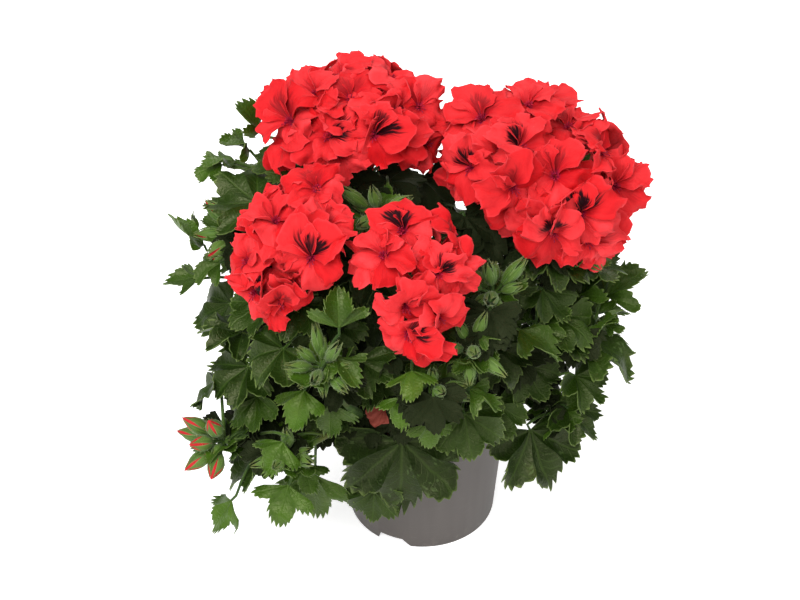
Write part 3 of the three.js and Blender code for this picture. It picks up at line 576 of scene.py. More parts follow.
def add_node(tree, kind, inputs=None, **settings):
    """Adds a node, makes its settings, and sets or links its inputs by name or by number."""
    made = tree.nodes.new(kind)
    for label, value in settings.items():
        setattr(made, label, value)
    for label, value in (inputs or {}).items():
        join(tree, made.inputs[label], value)
    return made


def calc(tree, operation, *values):
    """One Math node."""
    return add_node(tree, "ShaderNodeMath", dict(enumerate(values)), operation=operation).outputs[0]


def fade(tree, value, low, high, to_low=0.0, to_high=1.0):
    """A smooth change from to_low at low to to_high at high."""
    inputs = {"Value": value, "From Min": low, "From Max": high, "To Min": to_low, "To Max": to_high}
    made = add_node(tree, "ShaderNodeMapRange", inputs, interpolation_type="SMOOTHSTEP")
    return made.outputs["Result"]


def mix(tree, factor, first, second):
    """Blends two colours."""
    inputs = {0: factor, 6: first, 7: second}
    return add_node(tree, "ShaderNodeMix", inputs, data_type="RGBA").outputs[2]


def attribute(tree, name):
    """A value that the mesh carries on its points."""
    return add_node(tree, "ShaderNodeAttribute", attribute_name=name).outputs["Fac"]


def clouds(tree, place, scale, detail=3.0, roughness=0.6):
    """Soft noise between 0 and 1."""
    inputs = {"Vector": place, "Scale": scale, "Detail": detail, "Roughness": roughness}
    return add_node(tree, "ShaderNodeTexNoise", inputs).outputs["Fac"]


def stretched(tree, place, across, along, shift=0.0):
    """A place on the blade, stretched so that noise on it runs in streaks along the blade."""
    offset = add_node(tree, "ShaderNodeCombineXYZ", {2: shift}).outputs[0]
    inputs = {"Vector": place, "Location": offset, "Scale": (across, along, 1)}
    return add_node(tree, "ShaderNodeMapping", inputs).outputs["Vector"]


def object_place(tree):
    """The point's own place on the object, in metres."""
    return tree.nodes.new("ShaderNodeTexCoord").outputs["Object"]


def blade_place(tree):
    """The point's place across and along its own blade."""
    return add_node(tree, "ShaderNodeUVMap", uv_map="UVMap").outputs["UV"]


def split(tree, vector):
    """The parts of a vector."""
    return add_node(tree, "ShaderNodeSeparateXYZ", {0: vector}).outputs


print("node helpers are ready")

# %% [markdown]
# A finish is a material with one principled shader. What is constant, such as how strongly it
# reflects, is set on the shader's own sockets. Only what varies over the surface comes from nodes.

# %% Helpers for finishes
def new_finish(name, constants):
    """A material with one principled shader, whose constants are set on its own sockets."""
    material = bpy.data.materials.new(name)
    material.use_nodes = True
    tree = material.node_tree
    shader = tree.nodes["Principled BSDF"]
    for label, value in constants.items():
        join(tree, shader.inputs[label], value)
    return material, tree, shader


def cover(tree, shader, colour, spots, smoothest, roughest):
    """Gives a finish its colour, and a roughness that changes with soft spots."""
    join(tree, shader.inputs["Base Color"], colour)
    join(tree, shader.inputs["Roughness"], fade(tree, spots, 0.3, 0.7, smoothest, roughest))


def bumped(tree, shader, height, strength, distance):
    """Lets a height in metres times distance raise the surface."""
    inputs = {"Strength": strength, "Distance": distance, "Height": height}
    join(tree, shader.inputs["Normal"], add_node(tree, "ShaderNodeBump", inputs).outputs["Normal"])


def new_group(name, kind, inputs, outputs):
    """An empty node group, with the identifiers, entries and ends of its named sockets."""
    tree, keys = bpy.data.node_groups.new(name, kind), {}
    for way, sockets in (("INPUT", inputs), ("OUTPUT", outputs)):
        for label, value_kind in sockets.items():
            socket = tree.interface.new_socket(label, in_out=way, socket_type=value_kind)
            keys[label] = socket.identifier
    entry, end = tree.nodes.new("NodeGroupInput"), tree.nodes.new("NodeGroupOutput")
    return tree, keys, entry.outputs, end.inputs


print("finish helpers are ready")

# %% [markdown]
# A pelargonium leaf has five main veins, which run from the stalk to the lobes, and side veins that
# fork off them towards the teeth. The vein net could be drawn by hand, but it follows a rule. In the
# blade's own polar coordinates a main vein is a line of constant angle, and pingpong gives the
# distance from the nearest one. The side veins are slanted stripes of that distance and the radius.

# %% Vein net of a leaf
VEIN_SPACING = 0.2
PUCKER_SCALE = 420
FLOAT, VECTOR = "NodeSocketFloat", "NodeSocketVector"

vein_net, _, entry, end = new_group(
    "vein net", "ShaderNodeTree", {"Blade place": VECTOR, "Object place": VECTOR},
    {"Veins": FLOAT, "Margin": FLOAT, "Height": FLOAT})
across, radius, _ = split(vein_net, entry["Blade place"])
angle = calc(vein_net, "SUBTRACT", calc(vein_net, "MULTIPLY", across, 2.0), 1.0)
wobble = clouds(vein_net, entry["Object place"], 90, 2.0)
wobbled = calc(vein_net, "ADD", angle, calc(vein_net, "MULTIPLY_ADD", wobble, 0.05, -0.025))
from_vein = calc(vein_net, "PINGPONG", wobbled, VEIN_SPACING)
gap = calc(vein_net, "MULTIPLY", from_vein, radius)
main_veins = fade(vein_net, gap, 0.004, 0.016, 1.0, 0.0)
slant = calc(vein_net, "MULTIPLY_ADD", from_vein, -13.0, calc(vein_net, "MULTIPLY", radius, 6.5))
side_veins = fade(vein_net, calc(vein_net, "PINGPONG", slant, 0.5), 0.02, 0.13, 0.6, 0.0)
veins = calc(vein_net, "MAXIMUM", main_veins, side_veins)
inputs = {"Vector": entry["Object place"], "Scale": PUCKER_SCALE}
cells = add_node(vein_net, "ShaderNodeTexVoronoi", inputs, feature="DISTANCE_TO_EDGE")
puckers = fade(vein_net, cells.outputs["Distance"], 0.0, 0.3)
height = calc(vein_net, "MULTIPLY_ADD", veins, -0.8, calc(vein_net, "MULTIPLY", puckers, 0.45))
join(vein_net, end["Veins"], veins)
join(vein_net, end["Margin"], fade(vein_net, radius, 0.965, 0.995))
join(vein_net, end["Height"], height)
print("vein net of", len(vein_net.nodes), "nodes")

# %% [markdown]
# Old leaves are dark green and nearly smooth. Young ones are brighter. The veins and a thin margin
# are lighter, and the lower face is paler and greyer. Blades deep in the plant get painted shade,
# which darkens them nearly to black and makes them rougher. The blade has a soft waxy sheen, so its
# roughness is middling and varies a little.

# %% Leaf finish
leaf_finish, tree, shader = new_finish("leaf green", {
    "Specular IOR Level": 0.38, "Specular Tint": (1.0, 1.0, 0.6),
})
place = object_place(tree)
inputs = {"Blade place": blade_place(tree), "Object place": place}
net = add_node(tree, "ShaderNodeGroup", inputs, node_tree=vein_net).outputs
age = attribute(tree, "tone")
green = mix(tree, age, (0.0065, 0.0175, 0.0012), (0.058, 0.130, 0.008))
patches = clouds(tree, place, 60)
green = mix(tree, fade(tree, patches, 0.35, 0.7, 0.0, 0.5), green, (0.014, 0.038, 0.002))
green = mix(tree, calc(tree, "MULTIPLY", net["Veins"], 0.22), green, (0.075, 0.145, 0.02))
green = mix(tree, calc(tree, "MULTIPLY", net["Margin"], 0.55), green, (0.15, 0.22, 0.05))
weathered = fade(tree, clouds(tree, place, 22, 3.0), 0.6, 0.74, 0.0, 0.18)
green = mix(tree, weathered, green, (0.105, 0.130, 0.016))
pale = mix(tree, 0.5, green, (0.085, 0.140, 0.040))
green = mix(tree, attribute(tree, "under"), green, pale)
# Painted shade: blades deep in the plant are darkened towards near-black green.
green = mix(tree, attribute(tree, "blotch_and_shade"), green, (0.003, 0.009, 0.0008))
join(tree, shader.inputs["Base Color"], green)
gloss = fade(tree, patches, 0.3, 0.7, 0.36, 0.52)
rough = calc(tree, "MULTIPLY_ADD", attribute(tree, "blotch_and_shade"), 0.35, gloss)
join(tree, shader.inputs["Roughness"], rough)
bumped(tree, shader, net["Height"], 0.8, 0.32 * MM)
print("leaf finish of", len(tree.nodes), "nodes")

# %% [markdown]
# A blade is a polar grid of rays and rings round its root. Its lobes are pleated: the main veins lie
# low and the blade bulges between them. The edge is cut into irregular teeth that lean towards the
# tip of the leaf, so the last ring has four points for each tooth.

# %% Leaf blades
LEAF_SKIN = 0.45
LEAF_RINGS = (0.1, 0.24, 0.4, 0.55, 0.69, 0.81, 0.915)
HIDDEN_RINGS = (0.2, 0.5, 0.8)
HIDDEN_TEETH = 20
TOOTH_PROFILE = (0, 0.35, 0.75, 1)
TOOTH_FOOT = 0.3
CORNER_CUT = 0.22
EDGE_WAVES = 7
EDGE_WAVE_HEIGHT = 0.09
DENT_SIZE = 13
DENT_DEPTH = 0.26
TONES = {"wedge": (0.42, 0.95), "fan": (0.0, 0.42)}
OLD_WIDTHS = (40, 68)


def leaf_sheet(shape, leaf, number, shade=0, hidden=False):
    """Adds one blade to a shape. shade darkens it, and a hidden blade has fewer faces."""
    form = LEAF_FORMS[leaf[7]]
    root, reach = leaf_root(leaf)
    out, across, up = leaf_axes(*leaf[4:7])
    droop = form["droop"] * vary(number, 0.6, 1.4)
    skew = vary(number + 300, -0.1, 0.1)
    wave = vary(number + 600, 0, 6)

    def spot(share, ring, tooth=0):
        angle = math.radians(form["spread"]) * share
        lobe = abs(math.cos(math.pi * form["lobes"] * share / 2))
        edge = (1 - form["taper"] * share ** 2) * (1 - form["cut"] * (1 - lobe))
        past = max(0, abs(share) - form["round"]) / (1 - form["round"])
        edge *= 1 - CORNER_CUT * past ** 2
        lift = form["cup"] * ring ** 1.3 - droop * max(0, math.cos(angle)) ** 2 * ring ** 2
        lift += form["pleat"] * (0.5 - lobe) * ring ** 1.2 + skew * math.sin(angle) * ring
        lift += EDGE_WAVE_HEIGHT * math.sin(EDGE_WAVES * angle + wave) * ring ** 3
        run = reach * edge * ring * (1 + tooth)
        flat = root + spun(out, across, angle) * run
        lift += DENT_DEPTH * noise.noise(flat / DENT_SIZE) * ring ** 1.5
        return flat + up * (reach * lift)

    rings, teeth = (HIDDEN_RINGS, HIDDEN_TEETH) if hidden else (LEAF_RINGS, form["teeth"])
    shares = [2 * i / teeth - 1 for i in range(teeth + 1)]
    top, uv = [root], [(0.5, 0)]
    for ring in rings:
        for share in shares:
            top.append(spot(share, ring))
            uv.append((0.5 + 0.5 * share * form["vein_pitch"], ring))
    for i in range(4 * teeth + 1):
        share = 2 * i / (4 * teeth) - 1
        step = i % 4 if share < 0 else (4 - i) % 4
        tooth = i // 4 if share < 0 else (i - 1) // 4
        high = form["tooth"] * vary(number * 50 + tooth, 0.2, 1.6)
        top.append(spot(share, 1, high * (TOOTH_PROFILE[step] - TOOTH_FOOT)))
        uv.append((0.5 + 0.5 * share * form["vein_pitch"], 1))
    faces = [(0, 2 + i, 1 + i) for i in range(teeth)] + grid_faces(len(rings) - 1, teeth, 1)
    last, edge = [1 + count * (teeth + 1) for count in (len(rings) - 1, len(rings))]
    for i in range(teeth):
        a, b, c = last + i, last + i + 1, edge + 4 * i
        faces += [(a, c + 2, c + 1, c), (a, b, c + 3, c + 2), (b, c + 4, c + 3)]
    oldest = smooth(*OLD_WIDTHS, leaf[3])
    tone = vary(number + 900, *TONES[leaf[7]]) * (1 - 0.8 * oldest)
    add_sheet(shape, top, faces, LEAF_SKIN, uv, tone, shade)


print("an outer blade has", len(LEAF_RINGS) + 1, "rings, and a hidden one", len(HIDDEN_RINGS) + 1)

# %% [markdown]
# All the blades of a stem make one piece. Blades near the plant's axis are darker, because they stand
# in the shade of the others.

# %% Leaves of the stems
# Painted shade for blades near the plant's axis, fading out between these radii.
SHADE = 0.68
SHADE_RADII = (45, 105)

for stem in STEMS:
    blades = new_shape()
    for k, leaf in enumerate(stem["leaves"]):
        shade = SHADE * (1 - smooth(*SHADE_RADII, math.hypot(leaf[0], leaf[1])))
        leaf_sheet(blades, leaf, stem["number"] * 20 + k, shade)
    hand_over(make_piece(own_name(stem, "leaves"), blades, leaf_finish), "leaf", stem["name"])

# %% [markdown]
# The plant is so dense that no light comes through its middle. The plain solids leave out the small
# leaves that stand in there, so each stem gets some more. One stands half-way along the stalk of each
# old leaf, lower and turned aside, where the outer leaves hide most of it from every side. They all
# get the full painted shade, so that they also stand for the dark inside of the plant.

# %% Inner leaves
INNER_DROP = 12
INNER_TURN = 65
INNER_ABOVE_RIM = 8
FILL_ABOVE_RIM = 10
FILL_SHARES = (0.48, 0.66, 0.84)


def inner_leaf(leaf, start, number):
    """A smaller leaf between a stem and one of its old leaves."""
    width, azimuth = leaf[3:5]
    middle = start.lerp(Vector(leaf[:3]), vary(number, 0.4, 0.62))
    lower = middle.z - vary(number + 1, 0.4, 1.2) * INNER_DROP
    middle.z = max(lower, POT_HEIGHT + INNER_ABOVE_RIM)
    turn = vary(number + 2, -INNER_TURN, INNER_TURN)
    pitch = vary(number + 3, -38, -6)
    small = width * vary(number + 4, 0.68, 0.9)
    return [*middle, small, azimuth + turn, pitch, vary(number + 5, -15, 15), "fan"]


def fill_leaf(axis, share, number):
    """A small leaf beside a stem, and the place where its stalk starts."""
    place = share * (len(axis) - 1)
    start = axis[int(place)].lerp(axis[int(place) + 1], place - int(place))
    azimuth, width = vary(number, 0, 360), vary(number + 1, 28, 40)
    middle = start + heading(azimuth, 8) * vary(number + 2, 15, 26)
    middle.z = max(middle.z, POT_HEIGHT + FILL_ABOVE_RIM)
    pitch, roll = vary(number + 3, -40, -5), vary(number + 4, -15, 15)
    return [*middle, width, azimuth, pitch, roll, "fan"], start


print("small leaves stand at these shares of a stem:", FILL_SHARES)

# %% [markdown]
# Under the flower heads the plant is closed, but the stems' own leaves don't reach that far. The
# leaves there are listed. The stalk of each starts where its stem is nearest to a place below the
# leaf. All the inner leaves are painted in full shade and have fewer faces than the outer ones.

# %% Leaves under the flower heads
# Inner blades get the full painted shade.
INNER_SHADE = 1
CANOPY_DROP = 8
CANOPY = {
    "stem_middle": [
        [-22, 10, 250, 46, 275, -20, 0, "fan"], [-34, 34, 240, 50, 250, -15, 0, "fan"],
        [0, 26, 240, 48, 285, -22, 0, "fan"], [26, -14, 240, 44, 280, -25, 0, "fan"],
    ],
    "stem_front": [
        [-30, -40, 246, 40, 262, -20, 0, "fan"], [22, -40, 226, 44, 290, -25, 0, "fan"],
        [-34, -66, 122, 40, 250, -42, 8, "wedge"], [-14, -70, 128, 36, 282, -46, -10, "wedge"],
        [8, -66, 134, 34, 300, -40, 12, "wedge"], [-52, -58, 124, 36, 228, -38, 0, "fan"],
        [18, -36, 200, 44, 285, -30, 0, "fan"],
    ],
    "stem_left_front": [
        [-56, -20, 236, 46, 250, -25, 0, "fan"], [-42, -24, 150, 40, 265, -40, 0, "fan"],
    ],
    "stem_right": [
        [40, -14, 236, 46, 290, -20, 0, "fan"], [78, -16, 226, 46, 300, -25, 0, "fan"],
    ],
}


for stem in STEMS:
    stem["inner"] = []
    for k, leaf in enumerate(CANOPY.get(stem["name"], [])):
        below = Vector(leaf[:3]) - UP * CANOPY_DROP * (k + 1)
        places = [spot for axis in stem["axes"] for spot in axis if spot.z > POT_HEIGHT + ABOVE_RIM]
        start = min(places, key=lambda spot: (spot - below).length)
        stem["inner"].append((leaf, start, stem["number"] * 60 + 40 + k * 2))
    for k, (leaf, start) in enumerate(zip(stem["leaves"], stem["starts"])):
        if leaf[7] == "fan" and leaf[2] > POT_HEIGHT + FILL_ABOVE_RIM:
            number = stem["number"] * 60 + k * 2
            stem["inner"].append((inner_leaf(leaf, start, number), start + UP * 2, number))
    for i, axis in enumerate(stem["axes"]):
        for k, share in enumerate(FILL_SHARES):
            number = stem["number"] * 600 + i * 50 + k * 9 + 5000
            stem["inner"].append((*fill_leaf(axis, share, number), number))
    blades = new_shape()
    for leaf, _, number in stem["inner"]:
        leaf_sheet(blades, leaf, number + 2000, INNER_SHADE, True)
    hand_over(make_piece(own_name(stem, "inner_leaves"), blades, leaf_finish), "leaf", stem["name"])
print(sum(len(stem["inner"]) for stem in STEMS), "inner leaves")

# %% [markdown]
# At the tip of each shoot and under each umbel stands a tuft of very young leaves, still small and
# bright. They are too small for the plain solids. Each turns on from the last by the golden angle.

# %% Tufts of young leaves
GOLDEN_ANGLE = 2.4
TUFT_LEAVES = 6
TUFT_DROP = 5
TUFT_SPACING = 25
TUFT_FROM_HEAD = 30


def tuft_leaf(hub, number, k):
    """A very young leaf whose blade starts close to a shoot's tip."""
    width = vary(number + 7 * k, 17, 32)
    azimuth = math.degrees(GOLDEN_ANGLE * k) + vary(number, 0, 360)
    pitch = vary(number + 7 * k + 1, -12, 48)
    stand_off = vary(number + 7 * k + 2, 4, 9)
    reach = LEAF_FORMS["wedge"]["reach"] * width
    run = stand_off + LEAF_FORMS["wedge"]["middle"] * reach
    middle = hub + heading(azimuth, pitch) * run - UP * TUFT_DROP
    return [*middle, width, azimuth, pitch, vary(number + 7 * k + 3, -25, 25), "wedge"]


for stem in STEMS:
    hubs = [Vector(umbel[:3]) for umbel in stem["umbels"]] or [Vector(stem["tip"])]
    tips = [axis[-1] for axis in stem["axes"][1:]]
    hubs += [tip for tip in tips if (tip - hubs[0]).length > TUFT_SPACING]
    hubs = [hub for hub in hubs
            if all((Vector(head["hub"]) - hub).length > TUFT_FROM_HEAD for head in HEADS)]
    stem["tuft"], blades = [], new_shape()
    for i, hub in enumerate(hubs):
        for k in range(TUFT_LEAVES):
            number = stem["number"] * 400 + i * 90
            leaf = tuft_leaf(hub, number, k)
            stem["tuft"].append((leaf, hub - UP * TUFT_DROP))
            leaf_sheet(blades, leaf, number + k + 5000)
    if stem["tuft"]:
        piece = make_piece(own_name(stem, "young_leaves"), blades, leaf_finish)
        hand_over(piece, "leaf", stem["name"])
print(sum(len(stem["tuft"]) for stem in STEMS), "leaves in tufts")

# %% [markdown]
# A flower has two upper petals that stand up and three lower ones. Each is narrow at the throat and
# nearly round beyond it, with a ruffled edge, and each laps over the next like roof tiles. Crowded
# flowers press against each other. Cloth simulation could do that, but a rule is surer: where a petal
# would pass the plane between two throats, the rest of it is turned up along that plane.

# %% Flowers and their axes
PETAL_LENGTH = 24
PETAL_CLEARANCE = 0.3
LEAN_TO_LIGHT = 0.6
NOD = 0.42
USUAL_SCALE = 0.97
HEAD_SCALE = {"head_left": 0.8, "head_centre": 0.81}
FLOWER_SCALE = {6: 0.8, 7: 0.76, 21: 0.82, 24: 0.78}
CEILING = 8
FRONT_SHARE = 0.9
BACK_SHARE = 0.66
MARKED = (0, 1, 21, 23, 41, 42, 60, 64, 81, 82, 84, 101, 121)
UPPER_PETALS = (0, 4)
PETALS = [
    {"middle": 33, "rise": 0.42, "fold": 0.22, "length": 1.1},
    {"middle": 106, "rise": 0.2, "fold": -0.05, "length": 0.98},
    {"middle": 180, "rise": 0.1, "fold": -0.15, "length": 1.04},
    {"middle": 254, "rise": 0.2, "fold": -0.05, "length": 0.98},
    {"middle": 327, "rise": 0.42, "fold": 0.22, "length": 1.1},
]


def own_flowers(head, some):
    """Those of some flowers that grow on a head."""
    return [flower for flower in some if flower["head"] == head["name"]]


flowers = []
for number, head in enumerate(HEADS):
    for k, throat in enumerate(head["flowers"]):
        rank = number * 20 + k
        throat, hub = Vector(throat), Vector(head["hub"])
        light = heading(*head["light"])
        facing = ((throat - hub).normalized() + light * LEAN_TO_LIGHT).normalized()
        nod = Vector([vary(rank * 3 + 700 + axis, -NOD, NOD) for axis in range(3)])
        facing = (facing + nod).normalized()
        reference = Vector((0, 1, 0)) if abs(facing.z) > 0.95 else UP
        upright = (reference - facing * reference.dot(facing)).normalized()
        size = PETAL_LENGTH * HEAD_SCALE.get(head["name"], USUAL_SCALE) * vary(rank, 0.92, 1.06)
        flowers.append({
            "head": head["name"], "rank": rank, "throat": throat, "hub": hub, "facing": facing,
            "upright": upright, "sideways": upright.cross(facing),
            "size": size * FLOWER_SCALE.get(rank, 1), "lean": vary(rank + 500, -55, 55),
            "ceiling": max(spot[2] for spot in head["flowers"]) + CEILING, "planes": [],
            "low": False,
        })

for flower in flowers:
    for other in flowers:
        between = other["throat"] - flower["throat"]
        distance = between.length
        if other is not flower and distance < 4 * PETAL_LENGTH:
            share = FRONT_SHARE if other["rank"] > flower["rank"] else BACK_SHARE
            limit = distance * share - PETAL_CLEARANCE
            flower["planes"].append((between / distance, limit))
print(len(flowers), "flowers,", sum(len(f["planes"]) for f in flowers), "planes between them")

# %% [markdown]
# Between and below these flowers a head holds others that are nearly hidden. They close the gaps, so
# that a head is one mass of ruffles. Each stands lower than its neighbour and beside it.

# %% Lower flowers
LOW_DROP = 6.5
LOW_ASIDE = 11
LOW_SCALE = 0.88

low_flowers = []
for flower in flowers:
    turn = vary(flower["rank"] + 800, 0, 2 * math.pi)
    aside = spun(flower["upright"], flower["sideways"], turn)
    lower = dict(flower, low=True, rank=flower["rank"] + 300, size=LOW_SCALE * flower["size"])
    lower["throat"] = flower["throat"] - flower["facing"] * LOW_DROP + aside * LOW_ASIDE
    lower["lean"] = vary(flower["rank"] + 900, -180, 180)
    lower["planes"] = []
    low_flowers.append(lower)
print(len(low_flowers), "lower flowers")

# %% [markdown]
# The petals are velvety: they scatter light at grazing angles, which sheen does, and a little light
# goes through them. Their red is not even. It is deeper along fine veins, and it darkens towards the
# throat, as painted shade of the cup. The narrow purplish band at the throat itself is partly the
# flower's own colour and partly painted shade. A paler rim on each petal is a painted sheen. The
# upper petals have a feathered blotch that is nearly black. The blotch is an ellipse on the petal's
# own coordinates, and noise that is stretched along the petal pulls its edge into streaks.

# %% Petal finish
BLOTCH_ACROSS = (0.33, 0.34)
BLOTCH_ALONG = (0.29, 0.38)

petal_finish, tree, shader = new_finish("petal scarlet", {
    "Specular IOR Level": 0.09, "Sheen Weight": 0.1, "Sheen Roughness": 0.35,
    "Sheen Tint": (1.0, 0.35, 0.35), "Subsurface Weight": 0.08, "Subsurface Scale": 1.5 * MM,
    "Subsurface Radius": (1.0, 0.12, 0.1),
})
place = blade_place(tree)
across, along, _ = split(tree, place)
tone, blotch_and_shade = attribute(tree, "tone"), attribute(tree, "blotch_and_shade")
streaks = clouds(tree, stretched(tree, place, 34, 2.2, tone), 1.0, 2.0)
fringe = calc(tree, "MULTIPLY_ADD", streaks, 0.34, -0.17)
spread = calc(tree, "MULTIPLY", fringe, 8.0)
for part, (middle, half) in ((across, BLOTCH_ACROSS), (along, BLOTCH_ALONG)):
    share = calc(tree, "DIVIDE", calc(tree, "SUBTRACT", part, middle), half)
    spread = calc(tree, "MULTIPLY_ADD", share, share, spread)
dark = calc(tree, "MULTIPLY", fade(tree, spread, 0.1, 1.5, 1.0, 0.0), blotch_and_shade)
blotch = calc(tree, "MINIMUM", dark, 1.0)
red = mix(tree, tone, (0.60, 0.008, 0.011), (0.84, 0.046, 0.052))
patches = clouds(tree, stretched(tree, place, 5, 2.5, tone), 1.0)
red = mix(tree, fade(tree, patches, 0.35, 0.75, 0.0, 0.6), red, (0.48, 0.004, 0.009))
fine_veins = fade(tree, clouds(tree, stretched(tree, place, 70, 1.2, tone), 1.0, 1.0), 0.55, 0.72)
near_throat = fade(tree, along, 0.12, 0.55, 1.0, 0.0)
vein_strength = calc(tree, "MULTIPLY_ADD", near_throat, 0.45, 0.08)
red = mix(tree, calc(tree, "MULTIPLY", fine_veins, vein_strength), red, (0.30, 0.004, 0.020))
# Painted sheen: a paler, pinkish rim on each petal.
rim = fade(tree, along, 0.93, 1.0)
red = mix(tree, calc(tree, "MULTIPLY", rim, 0.2), red, (0.86, 0.085, 0.10))
# Painted shade of the cup: the red darkens towards the throat.
red = mix(tree, calc(tree, "MULTIPLY", near_throat, 0.4), red, (0.40, 0.003, 0.010))
# A purplish throat band: partly the flower's own colour, partly painted shade.
throat = fade(tree, along, 0.04, 0.2, 0.8, 0.0)
red = mix(tree, throat, red, (0.26, 0.008, 0.07))
dark_streaks = fade(tree, fine_veins, 0.0, 1.0, 0.0, 0.5)
maroon = mix(tree, dark_streaks, (0.014, 0.001, 0.003), (0.10, 0.003, 0.008))
red = mix(tree, blotch, red, maroon)
back = mix(tree, 0.3, red, (0.74, 0.08, 0.09))
red = mix(tree, attribute(tree, "under"), red, back)
cover(tree, shader, red, patches, 0.58, 0.7)
crinkle = clouds(tree, stretched(tree, place, 22, 5, tone), 1.0, 3.0)
bumped(tree, shader, crinkle, 0.45, 0.6 * MM)
print("petal finish of", len(tree.nodes), "nodes")

# %% [markdown]
# A petal that would pass the plane to a neighbour is turned up along that plane. The turn is rounded,
# so that the petal bends instead of breaking. What would stand too far out in front is pressed back.

# %% Room for each flower
ROOM_AHEAD = 0.52
PAST_ROOM = 0.22
TURN_UP = 0.75
TURN_FROM = -2
TURN_ROUNDING = 1.2


def kept_in_room(flower, spot):
    """Turns what would pass the planes between this flower and its neighbours up along them."""
    offset = spot - flower["throat"]
    lift = 0
    for normal, limit in flower["planes"]:
        excess = offset.dot(normal) - limit
        if excess > TURN_FROM:
            excess = 0.5 * (excess + math.sqrt(excess * excess + TURN_ROUNDING))
            offset = offset - normal * excess
            lift += excess
    ahead = offset.dot(flower["facing"]) + TURN_UP * lift
    room = ROOM_AHEAD * flower["size"]
    if ahead > room:
        ahead = room + PAST_ROOM * (ahead - room)
    flat = offset - flower["facing"] * offset.dot(flower["facing"])
    return flower["throat"] + flat + flower["facing"] * ahead


print("a flower reaches", ROOM_AHEAD, "of a petal's length ahead before it is pressed back")

# %% [markdown]
# A petal is a fan of points round its throat. Waves of three sizes lift it more and more towards its
# rim, two fine ones fringe the rim itself, and noise wrinkles the whole.

# %% Shape of a petal
PETAL_SKIN = 0.35
PETAL_HALF_WIDTH = 52
PETAL_COLUMNS = 20
PETAL_ROWS = (0.06, 0.15, 0.26, 0.38, 0.5, 0.62, 0.74, 0.85, 0.94, 1)
LOW_COLUMNS = 14
LOW_ROWS = (0.1, 0.3, 0.5, 0.68, 0.84, 1)
FUNNEL = 0.24
FRILLS = ((13, 0.028), (25, 0.02))
RUFFLES = ((3.4, 1, 2), (8.5, 0.55, 3), (19, 0.25, 5))
WRINKLES = ((12, 6, 1.3), (6, 1.7, 2))
PAST_CEILING = 0.7
STRONG_BLOTCH = (0.9, 1.7)
WEAK_BLOTCH = (0.0, 0.6)
LOWER_BLOTCH = (-0.6, 0.3)


def petal_sheet(shape, flower, k):
    """Adds one petal to a shape. A ruffle is a number of waves, a height and how late it starts."""
    petal, rank, size = PETALS[k], flower["rank"], flower["size"]
    own = rank * 40 + k * 7
    waves = [vary(own + i, 0, FULL_TURN) for i in range(len(FRILLS) + len(RUFFLES))]
    ruffle, fold = vary(own + 5, 0.12, 0.26), petal["fold"] + vary(own + 11, -0.28, 0.28)
    twist, tilt = vary(own + 12, -0.3, 0.3), vary(own + 13, -0.2, 0.22)
    length, half = vary(own + 14, 0.84, 1.12), PETAL_HALF_WIDTH * vary(own + 15, 0.9, 1.1)
    curl = vary(own + 16, 0.1, 0.55)
    drift = Vector((own * 0.37, own * 0.61, own * 0.83))
    mirrored = -1 if k == UPPER_PETALS[1] else 1
    top, uv = [], []
    columns, rows = (LOW_COLUMNS, LOW_ROWS) if flower["low"] else (PETAL_COLUMNS, PETAL_ROWS)
    for along in rows:
        widening = 0.88 + 0.16 * smooth(0.05, 0.55, along) - 0.14 * smooth(0.6, 1, along)
        for i in range(columns + 1):
            across = 2 * i / columns - 1
            angle = math.radians(flower["lean"] + petal["middle"] + half * widening * across)
            edge = 1 - 0.33 * abs(across) ** 2.8 - 0.03 * math.exp(-(across / 0.16) ** 2)
            frill = sum(height * math.sin(count * across + wave)
                        for (count, height), wave in zip(FRILLS, waves))
            run = size * petal["length"] * length * along * (edge + frill * along ** 4)
            rise = FUNNEL * (1 - math.exp(-along / 0.2)) + (petal["rise"] + tilt) * along
            rise -= curl * along ** 3.5
            for (count, height, late), wave in zip(RUFFLES, waves[len(FRILLS):]):
                rise += height * ruffle * math.sin(count * across + wave) * along ** late
            bent = fold * across * across * along + twist * across * along ** 1.5
            rise += bent + 0.05 * across * along
            side = spun(flower["upright"], flower["sideways"], angle)
            spot = flower["throat"] + side * run + flower["facing"] * (size * rise)
            for wide, height, late in WRINKLES:
                spot += noise.noise_vector(spot / wide + drift) * (height * along ** late)
            spot = kept_in_room(flower, spot)
            spot.z -= PAST_CEILING * max(0, spot.z - flower["ceiling"])
            top.append(spot)
            uv.append((0.5 + 0.5 * across * mirrored, along))
    limits = LOWER_BLOTCH
    if k in UPPER_PETALS:
        limits = STRONG_BLOTCH if rank in MARKED else WEAK_BLOTCH
    blotch = max(0, vary(own + 6, *limits))
    faces = grid_faces(len(rows) - 1, columns)
    add_sheet(shape, top, faces, PETAL_SKIN, uv, vary(own + 9, 0, 1), blotch)


print("a petal has", len(PETAL_ROWS), "rows, and one of a lower flower", len(LOW_ROWS))

# %% Petals of the heads
for head in HEADS:
    petals = new_shape()
    for flower in own_flowers(head, flowers + low_flowers):
        for k in range(len(PETALS)):
            petal_sheet(petals, flower, k)
    hand_over(make_piece(own_name(head, "petals"), petals, petal_finish), "petal", head["name"])

# %% [markdown]
# Stems, leaf stalks, flower stalks and stamens are all round and follow a path. Each path is drawn
# as a curve with a radius at each point. A Geometry Nodes tree runs a circle along the curves, gives
# them a finish and makes them one mesh. Its inputs are the circle's number of sides and the finish.

# %% Tree that turns paths into round stalks
def geometry_tree(name, inputs):
    """An empty Geometry Nodes tree with named inputs, of which the last is the finish."""
    geometry = {"Geometry": "NodeSocketGeometry"}
    every_input = {**geometry, **inputs, "Finish": "NodeSocketMaterial"}
    return new_group(name, "GeometryNodeTree", every_input, geometry)


def finish_tree(tree, made, start, end):
    """Ends a tree: instances become real, and everything gets its finish."""
    real = add_node(tree, "GeometryNodeRealizeInstances", {0: made}).outputs[0]
    inputs = {"Geometry": real, "Material": start["Finish"]}
    join(tree, end["Geometry"], add_node(tree, "GeometryNodeSetMaterial", inputs).outputs[0])
    print(tree.name, "are made by a tree of", len(tree.nodes), "nodes")


